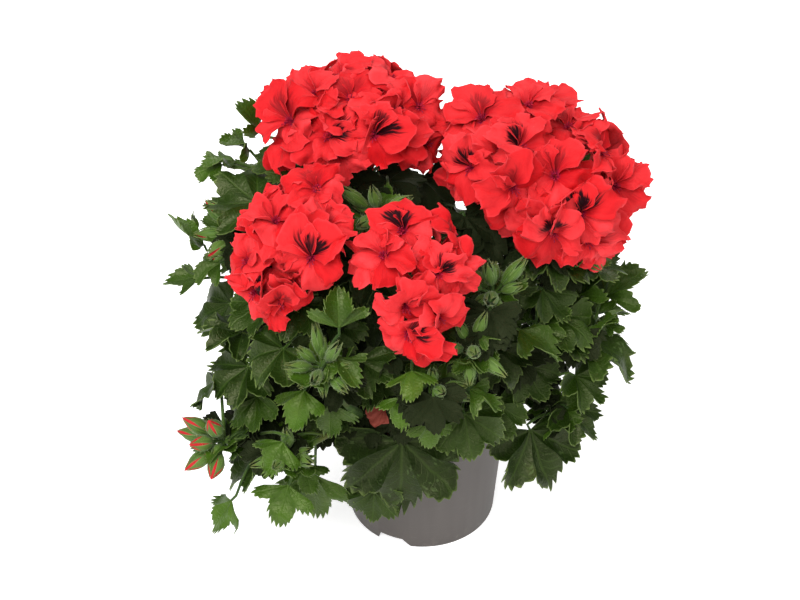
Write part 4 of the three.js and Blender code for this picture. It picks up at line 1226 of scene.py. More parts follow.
WHOLE = "NodeSocketInt"
stalk_tree, stalk_keys, start, end = geometry_tree("stalks along paths", {"Sides": WHOLE})
inputs = {"Resolution": start["Sides"], "Radius": 1}
circle = add_node(stalk_tree, "GeometryNodeCurvePrimitiveCircle", inputs)
thickness = add_node(stalk_tree, "GeometryNodeInputRadius").outputs[0]
skin = add_node(stalk_tree, "GeometryNodeCurveToMesh", {
    "Curve": start["Geometry"], "Profile Curve": circle.outputs["Curve"], "Scale": thickness,
    "Fill Caps": True,
})
soft = add_node(stalk_tree, "GeometryNodeSetShadeSmooth", {"Geometry": skin.outputs["Mesh"]})
finish_tree(stalk_tree, soft.outputs[0], start, end)


def grown(name, carrier, tree, keys, settings):
    """Runs a tree on an object and keeps the result as a plain mesh object."""
    modifier = carrier.modifiers.new("grow", "NODES")
    modifier.node_group = tree
    for label, value in settings.items():
        modifier[keys[label]] = value
    graph = bpy.context.evaluated_depsgraph_get()
    mesh = bpy.data.meshes.new_from_object(carrier.evaluated_get(graph))
    mesh.name = name
    carrier.modifiers.remove(modifier)
    return new_object(name, mesh)


def stalks(name, paths, sides, material):
    """Round stalks along paths of (points, radii) in millimetres, as one mesh."""
    curve = bpy.data.curves.new(name + "_paths", "CURVE")
    curve.dimensions = "3D"
    for points, radii in paths:
        line = curve.splines.new("POLY")
        line.points.add(len(points) - 1)
        for entry, spot, radius in zip(line.points, points, radii):
            entry.co = (*(spot * MM), 1)
            entry.radius = radius * MM
    carrier = new_object(name + "_paths", curve)
    piece = grown(name, carrier, stalk_tree, stalk_keys, {"Sides": sides, "Finish": material})
    bpy.data.objects.remove(carrier)
    return piece

# %% [markdown]
# Stems are fleshy and green, paler than the old leaves, and covered in short down that makes their
# edges look soft. Sheen stands for the down here, and real hairs are added at the end.

# %% Stem finish
stem_finish, tree, shader = new_finish("stem green", {
    "Specular IOR Level": 0.25, "Sheen Weight": 0.15, "Sheen Roughness": 0.4,
    "Sheen Tint": (0.85, 1.0, 0.75),
})
place = object_place(tree)
patches = clouds(tree, place, 70)
green = mix(tree, fade(tree, patches, 0.35, 0.65), (0.060, 0.115, 0.015), (0.026, 0.062, 0.008))
blush = fade(tree, clouds(tree, place, 25, 2.0), 0.58, 0.75, 0.0, 0.35)
green = mix(tree, blush, green, (0.16, 0.075, 0.035))
cover(tree, shader, green, patches, 0.5, 0.65)
bumped(tree, shader, clouds(tree, place, 900, 2.0), 0.5, 0.2 * MM)
print("stem finish of", len(tree.nodes), "nodes")

# %% Stems and leaf stalks
SHOOT_FOOT_RADIUS = 4
SHOOT_TOP_RADIUS = 2.4
FORK_RADIUS = 1.8
STALK_RADIUS = 1.15
STALK_TIP_RADIUS = 0.85
INNER_STALK_RADIUS = 0.9
TUFT_STALK_RADII = (0.8, 0.7, 0.6)
SHOOT_SIDES = 8


def rounded_path(points, steps):
    """A smooth path through points, with a number of steps between each two."""
    path = []
    for i in range(len(points) - 1):
        before, after = points[max(i - 1, 0)], points[min(i + 2, len(points) - 1)]
        a, b = points[i], points[i + 1]
        for k in range(steps):
            t = k / steps
            bulge = (b - before) * (t * (1 - t) ** 2 / 2) - (after - a) * (t * t * (1 - t) / 2)
            path.append(a.lerp(b, t * t * (3 - 2 * t)) + bulge)
    return [*path, points[-1]]


def shaded_radii(count, first, last):
    """Radii that go evenly from the first to the last."""
    return [first + (last - first) * i / (count - 1) for i in range(count)]


for stem in STEMS:
    paths = []
    for i, axis in enumerate(stem["axes"]):
        path = rounded_path(axis, 5)
        first, last = (SHOOT_FOOT_RADIUS, SHOOT_TOP_RADIUS) if i == 0 else (FORK_RADIUS, FORK_RADIUS)
        paths.append((path, shaded_radii(len(path), first, last)))
    for leaf, start in zip(stem["leaves"], stem["starts"]):
        path = stalk_path(leaf, start, 10)
        paths.append((path, shaded_radii(len(path), STALK_RADIUS, STALK_TIP_RADIUS)))
    for leaf, start, _ in stem["inner"]:
        path = stalk_path(leaf, start, 7)
        paths.append((path, shaded_radii(len(path), INNER_STALK_RADIUS, STALK_TIP_RADIUS)))
    for leaf, start in stem["tuft"]:
        root = leaf_root(leaf)[0]
        paths.append(([start, start.lerp(root, 0.5), root], TUFT_STALK_RADII))
    shoots = stalks(own_name(stem, "shoots"), paths, SHOOT_SIDES, stem_finish)
    hand_over(shoots, "leaf", stem["name"])

# %% [markdown]
# A bud is a pointed drop. Five green sepals wrap it, and in the ripest umbels the red petals show in
# the slits between them. A bud's skin could be one turned shape, but then its slits would be painted
# on. So each sepal is a curved sheet of its own round a core, with its pointed tip turned out a bit.

# %% Sepal finish
sepal_finish, tree, shader = new_finish("sepal green", {
    "Specular IOR Level": 0.25, "Sheen Weight": 0.2, "Sheen Roughness": 0.4,
    "Sheen Tint": (0.9, 1.0, 0.8),
})
place = blade_place(tree)
across, along, _ = split(tree, place)
age = attribute(tree, "tone")
ribs = clouds(tree, stretched(tree, place, 14, 1.2, age), 1.0, 2.0)
green = mix(tree, fade(tree, ribs, 0.35, 0.65), (0.095, 0.180, 0.022), (0.034, 0.084, 0.010))
green = mix(tree, calc(tree, "MULTIPLY", age, 0.35), green, (0.16, 0.25, 0.05))
tip = calc(tree, "MULTIPLY", fade(tree, along, 0.7, 1.0), 0.4)
green = mix(tree, tip, green, (0.20, 0.12, 0.035))
edge = calc(tree, "ABSOLUTE", calc(tree, "SUBTRACT", across, 0.5))
green = mix(tree, fade(tree, edge, 0.38, 0.5, 0.0, 0.4), green, (0.28, 0.36, 0.15))
cover(tree, shader, green, ribs, 0.5, 0.65)
bumped(tree, shader, ribs, 0.6, 0.4 * MM)
print("sepal finish of", len(tree.nodes), "nodes")

# %% Sepals and bud cores
BUD_WIDEST = 0.4
BUD_FOOT = 0.34
SEPAL_SKIN = 0.3
SEPAL_GRID = (6, 4)
CORE_GRID = (7, 8)
SEPAL_BREADTH = 46
SEPALS = 5


def side_axes(toward):
    """Two directions square to a third one and to each other."""
    reference = Vector((1, 0, 0)) if abs(toward.x) < 0.8 else Vector((0, 1, 0))
    side = (reference - toward * reference.dot(toward)).normalized()
    return side, toward.cross(side)


def drop_radius(share):
    """The outline of a bud: a narrow foot, widest at two fifths, and a point."""
    if share < BUD_WIDEST:
        return BUD_FOOT + (1 - BUD_FOOT) * math.sin(math.pi / 2 * share / BUD_WIDEST)
    past = (share - BUD_WIDEST) / (1 - BUD_WIDEST)
    return max(0, math.cos(math.pi / 2 * past ** 1.1)) ** 1.25


def sepal_sheet(shape, base, toward, turn, length, radius, flare, number, breadth):
    """Adds one sepal: a pointed sheet that follows the bud and turns out at its tip."""
    side, other = side_axes(toward)
    top, uv, (rows, columns) = [], [], SEPAL_GRID
    for j in range(rows + 1):
        along = j / rows
        width = breadth * (1 - along ** 2.6) * (0.7 + 0.3 * smooth(0, 0.3, along)) + 0.5
        out = radius * drop_radius(along * 0.97) + flare * along ** 4 + 0.25
        for i in range(columns + 1):
            across = 2 * i / columns - 1
            around = spun(side, other, turn + math.radians(width * across))
            keel = 0.12 * radius * (1 - abs(across)) * (1 - along)
            top.append(base + toward * (length * along * 1.12) + around * (out + keel))
            uv.append((0.5 + 0.5 * across, along))
    add_sheet(shape, top, grid_faces(rows, columns), SEPAL_SKIN, uv, vary(number, 0, 1))


def calyx(shape, base, toward, turn, length, radius, flare, number, breadth=SEPAL_BREADTH):
    """Adds five sepals that stand round a stalk."""
    for s in range(SEPALS):
        own_turn = 2 * math.pi * s / SEPALS + turn
        sepal_sheet(shape, base, toward, own_turn, length, radius, flare, number + s, breadth)


def turned_core(shape, base, toward, length, radius, number):
    """Adds a closed drop, which is what the sepals wrap."""
    side, other = side_axes(toward)
    first, (rows, columns) = len(shape["points"]), CORE_GRID
    points = [base]
    for j in range(1, rows):
        along = j / rows
        for i in range(columns):
            around = spun(side, other, 2 * math.pi * i / columns)
            points.append(base + toward * (length * along) + around * (radius * drop_radius(along)))
    points.append(base + toward * length)
    shape["points"] += points
    shape["uv"] += [(0.5, 0.5)] * len(points)
    for label, value in (("tone", vary(number, 0, 1)), ("under", 0), ("blotch_and_shade", 0.4)):
        shape[label] += [value] * len(points)
    last = first + len(points) - 1
    for i in range(columns):
        after = (i + 1) % columns
        shape["faces"].append((first, first + 1 + after, first + 1 + i))
        for j in range(rows - 2):
            row = first + 1 + j * columns
            faces = (row + i, row + after, row + columns + after, row + columns + i)
            shape["faces"].append(faces)
        top_row = first + 1 + (rows - 2) * columns
        shape["faces"].append((top_row + i, top_row + after, last))


print("a closed calyx has", SEPALS, "sepals of", len(grid_faces(*SEPAL_GRID)), "faces a side")

# %% [markdown]
# The buds of an umbel spread from its hub by the golden angle. Most are full-grown. Some narrow young
# ones stand below them, and a few small leaves, the bracts, sit round the hub. In an open umbel the
# buds are fatter and their cores reach past the sepals, so the red petals show.

# %% Umbels of buds
BUD_SPREAD = 62
BUD_RADIUS = 4.0
SMALL_BUDS = 5
SMALL_RADII = (0.9, 0.7, 1)
LARGE_RADII = (1.2, 0.9, 1.5)
BRACTS = 6
BRACT_SIZE = (5, 1.3, 2)
STALK_SIDES = 7
OPEN_UMBELS = {"stem_low_left": 0.8, "stem_left": 0.5, "stem_right": 0.4}


def umbel_axes(umbel):
    """The way that an umbel leans, and two directions square to it."""
    middle, across = heading(umbel[3], umbel[4]), heading(umbel[3] + 90, 0)
    return middle, across, middle.cross(across)


def large_buds(sepals, cores, paths, umbel, number, openness):
    """Adds the full-grown buds of an umbel."""
    hub, count = Vector(umbel[:3]), umbel[5]
    middle, across, other = umbel_axes(umbel)
    for i in range(count):
        around = GOLDEN_ANGLE * i + vary(number, 0, 6)
        tilt = math.radians(BUD_SPREAD) * math.sqrt((i + 0.4) / count)
        toward = spun(middle, spun(across, other, around), tilt)
        size, own = umbel[6] * vary(number + i, 0.85, 1.1), number * 30 + i * 9
        ripe = openness * vary(own, 0.5, 1)
        base, length = hub + toward * ((0.62 + 0.15 * ripe) * size), 1.3 * size
        flare = vary(own + 7, 0.5, 1.7) * (1 - 0.6 * ripe)
        radius = BUD_RADIUS * vary(own + 8, 0.85, 1.05) + 1.2 * ripe
        sepal_length, breadth = length * (1 - 0.22 * ripe), SEPAL_BREADTH - 12 * ripe
        turn = vary(own + 1, 0, 6)
        calyx(sepals, base, toward, turn, sepal_length, radius, flare, own, breadth)
        core_length, core_radius = (0.86 + 0.2 * ripe) * length, (0.92 + 0.1 * ripe) * radius
        turned_core(cores, base, toward, core_length, core_radius, own)
        paths.append(([hub, hub + toward * (0.3 * size), base + toward * 1.5], LARGE_RADII))


def small_buds(sepals, cores, paths, umbel, number):
    """Adds the young buds of an umbel."""
    hub = Vector(umbel[:3])
    middle, across, other = umbel_axes(umbel)
    for i in range(SMALL_BUDS):
        own = number * 30 + 200 + i * 9
        around = GOLDEN_ANGLE * (i + 0.5) + vary(own, 0, 1)
        tilt, size = math.radians(vary(own + 1, 35, 85)), vary(own + 2, 8, 12)
        toward = spun(middle, spun(across, other, around), tilt)
        base = hub + toward * (0.6 * size)
        calyx(sepals, base, toward, vary(own + 3, 0, 6), 1.2 * size, 0.3 * size, 1.1, own)
        turned_core(cores, base, toward, size, 0.26 * size, own)
        paths.append(([hub, base, base + toward], SMALL_RADII))


def bracts(sepals, umbel, number):
    """Adds the small leaves round the hub of an umbel."""
    for i in range(BRACTS):
        turn = vary(number + i, 0, FULL_TURN)
        side = heading(umbel[3] + 180 + 50 * math.cos(turn), 20 * math.sin(turn))
        base = Vector(umbel[:3]) - side
        sepal_sheet(sepals, base, side, turn, *BRACT_SIZE, number + 60 + i, SEPAL_BREADTH)


print("each umbel has", SMALL_BUDS, "small buds and", BRACTS, "bracts")

# %% [markdown]
# The cores of an open umbel get the petals' finish. All others stay green.

# %% Buds of the stems
for stem in (one for one in STEMS if one["umbels"]):
    sepals, cores, paths = new_shape(), new_shape(), []
    openness = OPEN_UMBELS.get(stem["name"], 0)
    for k, umbel in enumerate(stem["umbels"]):
        number = stem["number"] * 50 + k * 10
        large_buds(sepals, cores, paths, umbel, number, openness)
        small_buds(sepals, cores, paths, umbel, number)
        bracts(sepals, umbel, number)
    hand_over(make_piece(own_name(stem, "sepals"), sepals, sepal_finish), "leaf", stem["name"])
    core_finish, core_slot = (petal_finish, "petal") if openness else (sepal_finish, "leaf")
    hand_over(make_piece(own_name(stem, "bud_cores"), cores, core_finish), core_slot, stem["name"])
    bud_stalks = stalks(own_name(stem, "bud_stalks"), paths, STALK_SIDES, stem_finish)
    hand_over(bud_stalks, "leaf", stem["name"])

# %% [markdown]
# Behind its petals each flower has a green calyx of five pointed sepals on a thin stalk, and all the
# stalks of a head meet at its hub. In the throat stand seven pale red stamens with dark tips.

# %% Flower stalks and calyxes
PEDICEL_RADIUS = 0.9
CALYX_LENGTH = 10
CALYX_RADIUS = 2.6
CALYX_FLARE = 3.2
CALYX_DEPTH = 9

for head in HEADS:
    calyxes, paths = new_shape(), []
    for flower in own_flowers(head, flowers):
        throat, hub, facing = flower["throat"], flower["hub"], flower["facing"]
        foot = throat - facing * CALYX_DEPTH
        number = flower["rank"] * 11
        size = (CALYX_LENGTH, CALYX_RADIUS, CALYX_FLARE)
        calyx(calyxes, foot, facing, flower["lean"], *size, number)
        path = [hub, *bend_through(hub, foot - facing * 8, foot, 8)[1:], foot + facing * 2]
        paths.append((path, shaded_radii(len(path), PEDICEL_RADIUS, 1.1 * PEDICEL_RADIUS)))
    hand_over(make_piece(own_name(head, "calyxes"), calyxes, sepal_finish), "leaf", head["name"])
    flower_stalks = stalks(own_name(head, "flower_stalks"), paths, STALK_SIDES, stem_finish)
    hand_over(flower_stalks, "leaf", head["name"])

# %% Stamen finish
stamen_finish, tree, shader = new_finish("stamen red", {"Specular IOR Level": 0.12})
patches = clouds(tree, object_place(tree), 500, 2.0)
rose = mix(tree, fade(tree, patches, 0.35, 0.65), (0.46, 0.015, 0.045), (0.20, 0.006, 0.03))
cover(tree, shader, rose, patches, 0.4, 0.6)
print("stamen finish of", len(tree.nodes), "nodes")

# %% Throats and stamens
STAMENS = 7
STAMEN_LENGTH = 7
STAMEN_SIDES = 5
STAMEN_RADII = (0.26, 0.24, 0.22, 0.2, 0.2, 0.42, 0.36)
THROAT_RADII = (1.4, 1.8, 2.1)

for head in HEADS:
    paths = []
    for flower in own_flowers(head, flowers):
        throat, facing = flower["throat"], flower["facing"]
        funnel = [throat - facing * 7, throat - facing * 2, throat + facing * 0.8]
        paths.append((funnel, THROAT_RADII))
        for s in range(STAMENS):
            turn = 2 * math.pi * s / STAMENS + vary(flower["rank"] * 9 + s, 0, 0.6)
            side = spun(flower["upright"], flower["sideways"], turn)
            length = STAMEN_LENGTH * vary(flower["rank"] * 9 + s + 3, 0.75, 1.1)
            lean = flower["upright"] * -0.25
            tip = throat + facing * length + (side * 0.3 + lean) * length
            start = throat + side * 0.5
            path = bend_through(start, start + facing * (0.6 * length), tip, 5)
            path.append(tip + side * 0.7)
            paths.append((path, STAMEN_RADII))
    stamens = stalks(own_name(head, "stamens"), paths, STAMEN_SIDES, stamen_finish)
    hand_over(stamens, "petal", head["name"])

# %% [markdown]
# The pot is thin moulded plastic: a taper, a step and a deep lip, with a ring to stand on. It is a
# turned shape, so a section is spun round. Its corners are rounded first, as a mould's are. The
# drain holes and the notches in the foot ring are cut out of it afterwards.

# %% Pot section
RIM_RADIUS = 60
FOOT_RADIUS = 49
WALL = 1.8
LIP_DEPTH = 13
LIP_STEP = 4.6
PAD_RADIUS = 20
BOTTOM_LIFT = 5
FOOT_RING = 1.8
POT_SEGMENTS = 120
CORNER_RADIUS = 0.7
CORNER_STEPS = 3


def rounded_corners(points, radius):
    """Rounds the inner corners of a line of (r, z) points."""
    path = [points[0]]
    for before, corner, after in zip(points, points[1:], points[2:]):
        before, corner, after = Vector(before), Vector(corner), Vector(after)
        cut = min(radius, 0.45 * (before - corner).length, 0.45 * (after - corner).length)
        a = corner + (before - corner).normalized() * cut
        b = corner + (after - corner).normalized() * cut
        path += [tuple(spot) for spot in bend_through(a, corner, b, CORNER_STEPS)]
    return [*path, points[-1]]


inner_foot = FOOT_RADIUS - WALL
under_lip = POT_HEIGHT - LIP_DEPTH
wall_radius = RIM_RADIUS - LIP_STEP
pot_section = rounded_corners([
    (0, 0), (PAD_RADIUS, 0), (PAD_RADIUS + 3, BOTTOM_LIFT), (inner_foot - FOOT_RING, BOTTOM_LIFT),
    (inner_foot, 0), (FOOT_RADIUS, 0), (wall_radius, under_lip), (RIM_RADIUS, under_lip + 1),
    (RIM_RADIUS, POT_HEIGHT), (RIM_RADIUS - WALL - 1, POT_HEIGHT),
    (RIM_RADIUS - WALL - 1.6, under_lip + 3), (wall_radius - WALL, under_lip - 1),
    (inner_foot - 0.4, BOTTOM_LIFT + WALL), (0, BOTTOM_LIFT + WALL),
], CORNER_RADIUS)
print("pot section of", len(pot_section), "points")

# %% [markdown]
# A section that is spun round the axis becomes a closed mesh. It starts and ends on the axis, where
# the faces of all the segments meet in one point.

# %% Turned shapes
def faced_outwards(mesh, name):
    """Turns the faces of a closed bmesh outwards and makes it a plain mesh."""
    bmesh.ops.recalc_face_normals(mesh, faces=mesh.faces)
    if mesh.calc_volume(signed=True) < 0:
        bmesh.ops.reverse_faces(mesh, faces=mesh.faces)
    data = bpy.data.meshes.new(name)
    mesh.to_mesh(data)
    mesh.free()
    return data


def turned_mesh(name, section, segments):
    """Spins a section, from the axis back to the axis, into a closed mesh in metres."""
    mesh = bmesh.new()
    rings = []
    for r, z in section:
        if r == 0:
            rings.append([mesh.verts.new((0, 0, z * MM))] * segments)
            continue
        angles = [2 * math.pi * k / segments for k in range(segments)]
        rings.append([mesh.verts.new((r * MM * math.cos(a), r * MM * math.sin(a), z * MM))
                      for a in angles])
    for low, high in zip(rings, rings[1:]):
        for k in range(segments):
            after = (k + 1) % segments
            corners = []
            for vertex in (low[k], low[after], high[after], high[k]):
                if vertex not in corners:
                    corners.append(vertex)
            mesh.faces.new(corners)
    return faced_outwards(mesh, name)


print("the pot is spun in", POT_SEGMENTS, "segments")

# %% [markdown]
# The plastic is taupe grey and satin. Close up it has a faint grain from the mould, fine scuffs that
# run round it, and a little dried soil and lime near the foot. Those come from noise on the object's
# own coordinates.

# %% Pot finish
pot_finish, tree, shader = new_finish("taupe plastic", {"Specular IOR Level": 0.42})
place = object_place(tree)
x, y, z = split(tree, place)
grain = clouds(tree, place, 1400, 2.0)
scuffs = clouds(tree, stretched(tree, place, 30, 30), 1.0, 4.0)
round_pot = calc(tree, "MULTIPLY", calc(tree, "ARCTAN2", y, x), 2.5)
inputs = {0: round_pot, 1: calc(tree, "MULTIPLY", z, 900.0)}
rings = clouds(tree, add_node(tree, "ShaderNodeCombineXYZ", inputs).outputs[0], 1.0, 3.0)
taupe = mix(tree, fade(tree, scuffs, 0.3, 0.7), (0.094, 0.080, 0.072), (0.084, 0.071, 0.064))
taupe = mix(tree, fade(tree, rings, 0.55, 0.8, 0.0, 0.22), taupe, (0.145, 0.128, 0.118))
dust = calc(tree, "MULTIPLY", fade(tree, z, 0.0, 14 * MM, 1.0, 0.0),
            fade(tree, clouds(tree, place, 160, 5.0), 0.5, 0.7, 0.0, 0.5))
taupe = mix(tree, dust, taupe, (0.20, 0.175, 0.15))
cover(tree, shader, taupe, scuffs, 0.4, 0.5)
bumped(tree, shader, calc(tree, "ADD", grain, calc(tree, "MULTIPLY", rings, 0.5)), 0.25, 0.12 * MM)
print("pot finish of", len(tree.nodes), "nodes")

# %% Pot
DRAIN_RADIUS = 3.5
DRAIN_CIRCLE = 36
DRAIN_COUNT = 4
NOTCH_HEIGHT = 6
NOTCH_AZIMUTHS = (247, 7, 127)
NOTCH_LENGTH = 16
HOLE_LENGTH = 12
HOLE_SIDES = 20
EDGE_ANGLE = math.radians(32)


def add_prism(mesh, outline, depth, place):
    """Adds a closed prism to a bmesh. place turns (x, y, z) in millimetres into a point."""
    front = [mesh.verts.new(place(x, 0, z) * MM) for x, z in outline]
    back = [mesh.verts.new(place(x, depth, z) * MM) for x, z in outline]
    mesh.faces.new(front)
    mesh.faces.new(list(reversed(back)))
    for k in range(len(outline)):
        after = (k + 1) % len(outline)
        mesh.faces.new((front[after], front[k], back[k], back[after]))


cuts = bmesh.new()
for azimuth in NOTCH_AZIMUTHS:
    out, side = heading(azimuth, 0), heading(azimuth + 90, 0)

    def notch_place(x, y, z):
        return out * (FOOT_RADIUS - 10 + y) + side * x + UP * z

    outline = [(-12, -1), (-10, NOTCH_HEIGHT), (6, NOTCH_HEIGHT), (13, -1)]
    add_prism(cuts, outline, NOTCH_LENGTH, notch_place)
for k in range(DRAIN_COUNT):
    angle = 2 * math.pi * (k + 0.5) / DRAIN_COUNT
    centre = Vector((math.cos(angle), math.sin(angle), 0)) * DRAIN_CIRCLE

    def hole_place(x, y, z):
        return centre + Vector((x, z, BOTTOM_LIFT - HOLE_LENGTH / 2 + y))

    turns = [2 * math.pi * i / HOLE_SIDES for i in range(HOLE_SIDES)]
    circle = [(DRAIN_RADIUS * math.cos(t), DRAIN_RADIUS * math.sin(t)) for t in turns]
    add_prism(cuts, circle, HOLE_LENGTH, hole_place)
cutter = new_object("cuts", faced_outwards(cuts, "cuts"))
blank = new_object("blank", turned_mesh("blank", pot_section, POT_SEGMENTS))
boolean = blank.modifiers.new("cut", "BOOLEAN")
boolean.operation = "DIFFERENCE"
boolean.solver = "MANIFOLD"
boolean.object = cutter
graph = bpy.context.evaluated_depsgraph_get()
pot_mesh = bpy.data.meshes.new_from_object(blank.evaluated_get(graph))
pot_mesh.name = "pot_shell"
pot_mesh.shade_smooth()
pot_mesh.set_sharp_from_angle(angle=EDGE_ANGLE)
pot_mesh.materials.clear()
pot_mesh.materials.append(pot_finish)
bpy.data.objects.remove(blank)
bpy.data.objects.remove(cutter)
hand_over(new_object("pot_shell", pot_mesh), "pot", "pot")

# %% [markdown]
# Peat potting soil is a heap of dark crumbs. Its body is a turned block whose top is raised by noise,
# and a Geometry Nodes tree scatters small crumbs over the top, each with its own size and turn.

# %% Soil finish
soil_finish, tree, shader = new_finish("dark peat", {"Specular IOR Level": 0.2})
place = object_place(tree)
crumbs = clouds(tree, place, 520, 5.0, 0.7)
peat = mix(tree, fade(tree, crumbs, 0.35, 0.7), (0.010, 0.007, 0.005), (0.045, 0.030, 0.020))
fibres = fade(tree, clouds(tree, place, 240, 2.0), 0.66, 0.72, 0.0, 0.6)
peat = mix(tree, fibres, peat, (0.11, 0.072, 0.045))
cover(tree, shader, peat, crumbs, 0.85, 1.0)
bumped(tree, shader, crumbs, 1.0, 1.6 * MM)
print("soil finish of", len(tree.nodes), "nodes")

# %% Soil bed
SOIL_GAP = 0.35
SOIL_RINGS = 18
SOIL_SEGMENTS = 96
SOIL_HUMMOCK = 1.5
SOIL_LUMPS = 1.1
LUMP_SCALES = (160, 420)
soil_edge = wall_radius - WALL - SOIL_GAP + 0.6
top_rings = [(soil_edge * (1 - k / SOIL_RINGS), SOIL_TOP) for k in range(1, SOIL_RINGS)]
soil_section = [
    (0, BOTTOM_LIFT + WALL + SOIL_GAP), (inner_foot - 1.2, BOTTOM_LIFT + WALL + SOIL_GAP),
    (soil_edge - 0.8, under_lip - 1), (soil_edge, SOIL_TOP - 1), *top_rings, (0, SOIL_TOP),
]
soil_mesh = turned_mesh("soil_bed", soil_section, SOIL_SEGMENTS)
for vertex in soil_mesh.vertices:
    if vertex.co.z > (SOIL_TOP - 0.5) * MM:
        x, y = vertex.co.x / MM, vertex.co.y / MM
        swell = math.sin(x / 7) * math.cos(y / 9)
        coarse, fine = [noise.noise(vertex.co * scale) for scale in LUMP_SCALES]
        vertex.co.z += (SOIL_HUMMOCK * swell + SOIL_LUMPS * (coarse + 0.5 * fine)) * MM
soil_mesh.shade_smooth()
soil_mesh.materials.append(soil_finish)
soil_bed = new_object("soil_bed", soil_mesh)
hand_over(soil_bed, "soil", "soil")

# %% Crumbs on the soil
CRUMB_SETTINGS = {
    "Crumbs per square metre": 160000.0, "Smallest": 0.4 * MM, "Largest": 1.6 * MM, "Seed": 5,
}
FACES_UP = 0.4
crumb_tree, crumb_keys, start, end = geometry_tree("crumbs on the soil", {
    "Crumbs per square metre": FLOAT, "Smallest": FLOAT, "Largest": FLOAT, "Seed": WHOLE,
})
seed = start["Seed"]
face_normal = add_node(crumb_tree, "GeometryNodeInputNormal").outputs[0]
faces_up = calc(crumb_tree, "GREATER_THAN", split(crumb_tree, face_normal)[2], FACES_UP)
scatter = add_node(crumb_tree, "GeometryNodeDistributePointsOnFaces", {
    "Mesh": start["Geometry"], "Selection": faces_up, "Density": start["Crumbs per square metre"],
    "Seed": seed,
})
crumb = add_node(crumb_tree, "GeometryNodeMeshIcoSphere", {"Radius": 1, "Subdivisions": 1})
size = add_node(crumb_tree, "FunctionNodeRandomValue", {
    2: start["Smallest"], 3: start["Largest"], "Seed": seed,
}, data_type="FLOAT")
turn = add_node(crumb_tree, "FunctionNodeRandomValue", {
    1: (FULL_TURN, FULL_TURN, FULL_TURN), "Seed": seed,
}, data_type="FLOAT_VECTOR")
crumbs = add_node(crumb_tree, "GeometryNodeInstanceOnPoints", {
    "Points": scatter.outputs["Points"], "Instance": crumb.outputs["Mesh"],
    "Rotation": turn.outputs[0], "Scale": size.outputs[1],
})
finish_tree(crumb_tree, crumbs.outputs[0], start, end)
settings = {**CRUMB_SETTINGS, "Finish": soil_finish}
soil_crumbs = grown("soil_crumbs", soil_bed, crumb_tree, crumb_keys, settings)
hand_over(soil_crumbs, "soil", "soil")

# %% [markdown]
# Stems, leaf stalks and buds are covered in short pale hairs, which blur their outlines against the
# light. A particle system would be lost in the export, so a Geometry Nodes tree scatters real ones:
# thin cones of three sides that stand on the skin, each leaning its own way.

# %% Hair finish
hair_finish, tree, shader = new_finish("pale hair", {"Specular IOR Level": 0.2})
patches = clouds(tree, object_place(tree), 90)
straw = mix(tree, patches, (0.30, 0.40, 0.17), (0.44, 0.50, 0.30))
cover(tree, shader, straw, patches, 0.6, 0.8)
print("hair finish of", len(tree.nodes), "nodes")

# %% Tree that scatters hairs
HAIR_SHARE = 0.035
HAIR_LEAN = 0.5
hair_tree, hair_keys, start, end = geometry_tree("hairs on stems and buds", {
    "Hairs per square metre": FLOAT, "Length": FLOAT, "Seed": WHOLE,
})
scatter = add_node(hair_tree, "GeometryNodeDistributePointsOnFaces", {
    "Mesh": start["Geometry"], "Density": start["Hairs per square metre"], "Seed": start["Seed"],
}).outputs
hair = add_node(hair_tree, "GeometryNodeMeshCone", {
    "Vertices": 3, "Radius Bottom": HAIR_SHARE, "Depth": 1,
})
lean = add_node(hair_tree, "FunctionNodeRandomValue", {
    0: (-HAIR_LEAN, -HAIR_LEAN, 0), 1: (HAIR_LEAN, HAIR_LEAN, FULL_TURN), "Seed": start["Seed"],
}, data_type="FLOAT_VECTOR")
inputs = {"Rotation": scatter["Rotation"], "Rotate By": lean.outputs[0]}
leaning = add_node(hair_tree, "FunctionNodeRotateRotation", inputs, rotation_space="LOCAL")
hairs = add_node(hair_tree, "GeometryNodeInstanceOnPoints", {
    "Points": scatter["Points"], "Instance": hair.outputs["Mesh"],
    "Rotation": leaning.outputs[0], "Scale": start["Length"],
})
finish_tree(hair_tree, hairs.outputs[0], start, end)

# %% Hairs on the stems and buds
STEM_HAIRS = 45000.0
BUD_HAIRS = 90000.0
HAIR_LENGTH = 1.9 * MM
FIRST_SEED = 3

for stem in STEMS:
    for place, density in (("shoots", STEM_HAIRS), ("sepals", BUD_HAIRS)):
        carrier = bpy.data.objects.get(own_name(stem, place))
        if carrier:
            settings = {
                "Hairs per square metre": density, "Length": HAIR_LENGTH,
                "Seed": FIRST_SEED + stem["number"], "Finish": hair_finish,
            }
            hairs = grown(own_name(stem, place + "_hairs"), carrier, hair_tree, hair_keys, settings)
            hand_over(hairs, "leaf", stem["name"])

# %% [markdown]
# One petal has dropped and lies on a leaf at the front. It has faded and has curled up. Its dull
# salmon is partly its faded colour and partly painted shade. The rule for the other petals makes it
# too, smaller and with a finish of its own.

# %% Faded petal finish, with painted shade
faded_shaded_finish, tree, shader = new_finish("petal faded and shaded", {"Specular IOR Level": 0.1})
patches = clouds(tree, stretched(tree, blade_place(tree), 9, 3, attribute(tree, "tone")), 1.0, 2.0)
# The dull salmon is partly the petal's faded colour and partly painted shade.
shaded_salmon = mix(tree, fade(tree, patches, 0.3, 0.7), (0.25, 0.052, 0.036), (0.15, 0.028, 0.018))
cover(tree, shader, shaded_salmon, patches, 0.6, 0.8)
bumped(tree, shader, patches, 0.5, 0.5 * MM)
print("faded petal finish of", len(tree.nodes), "nodes")

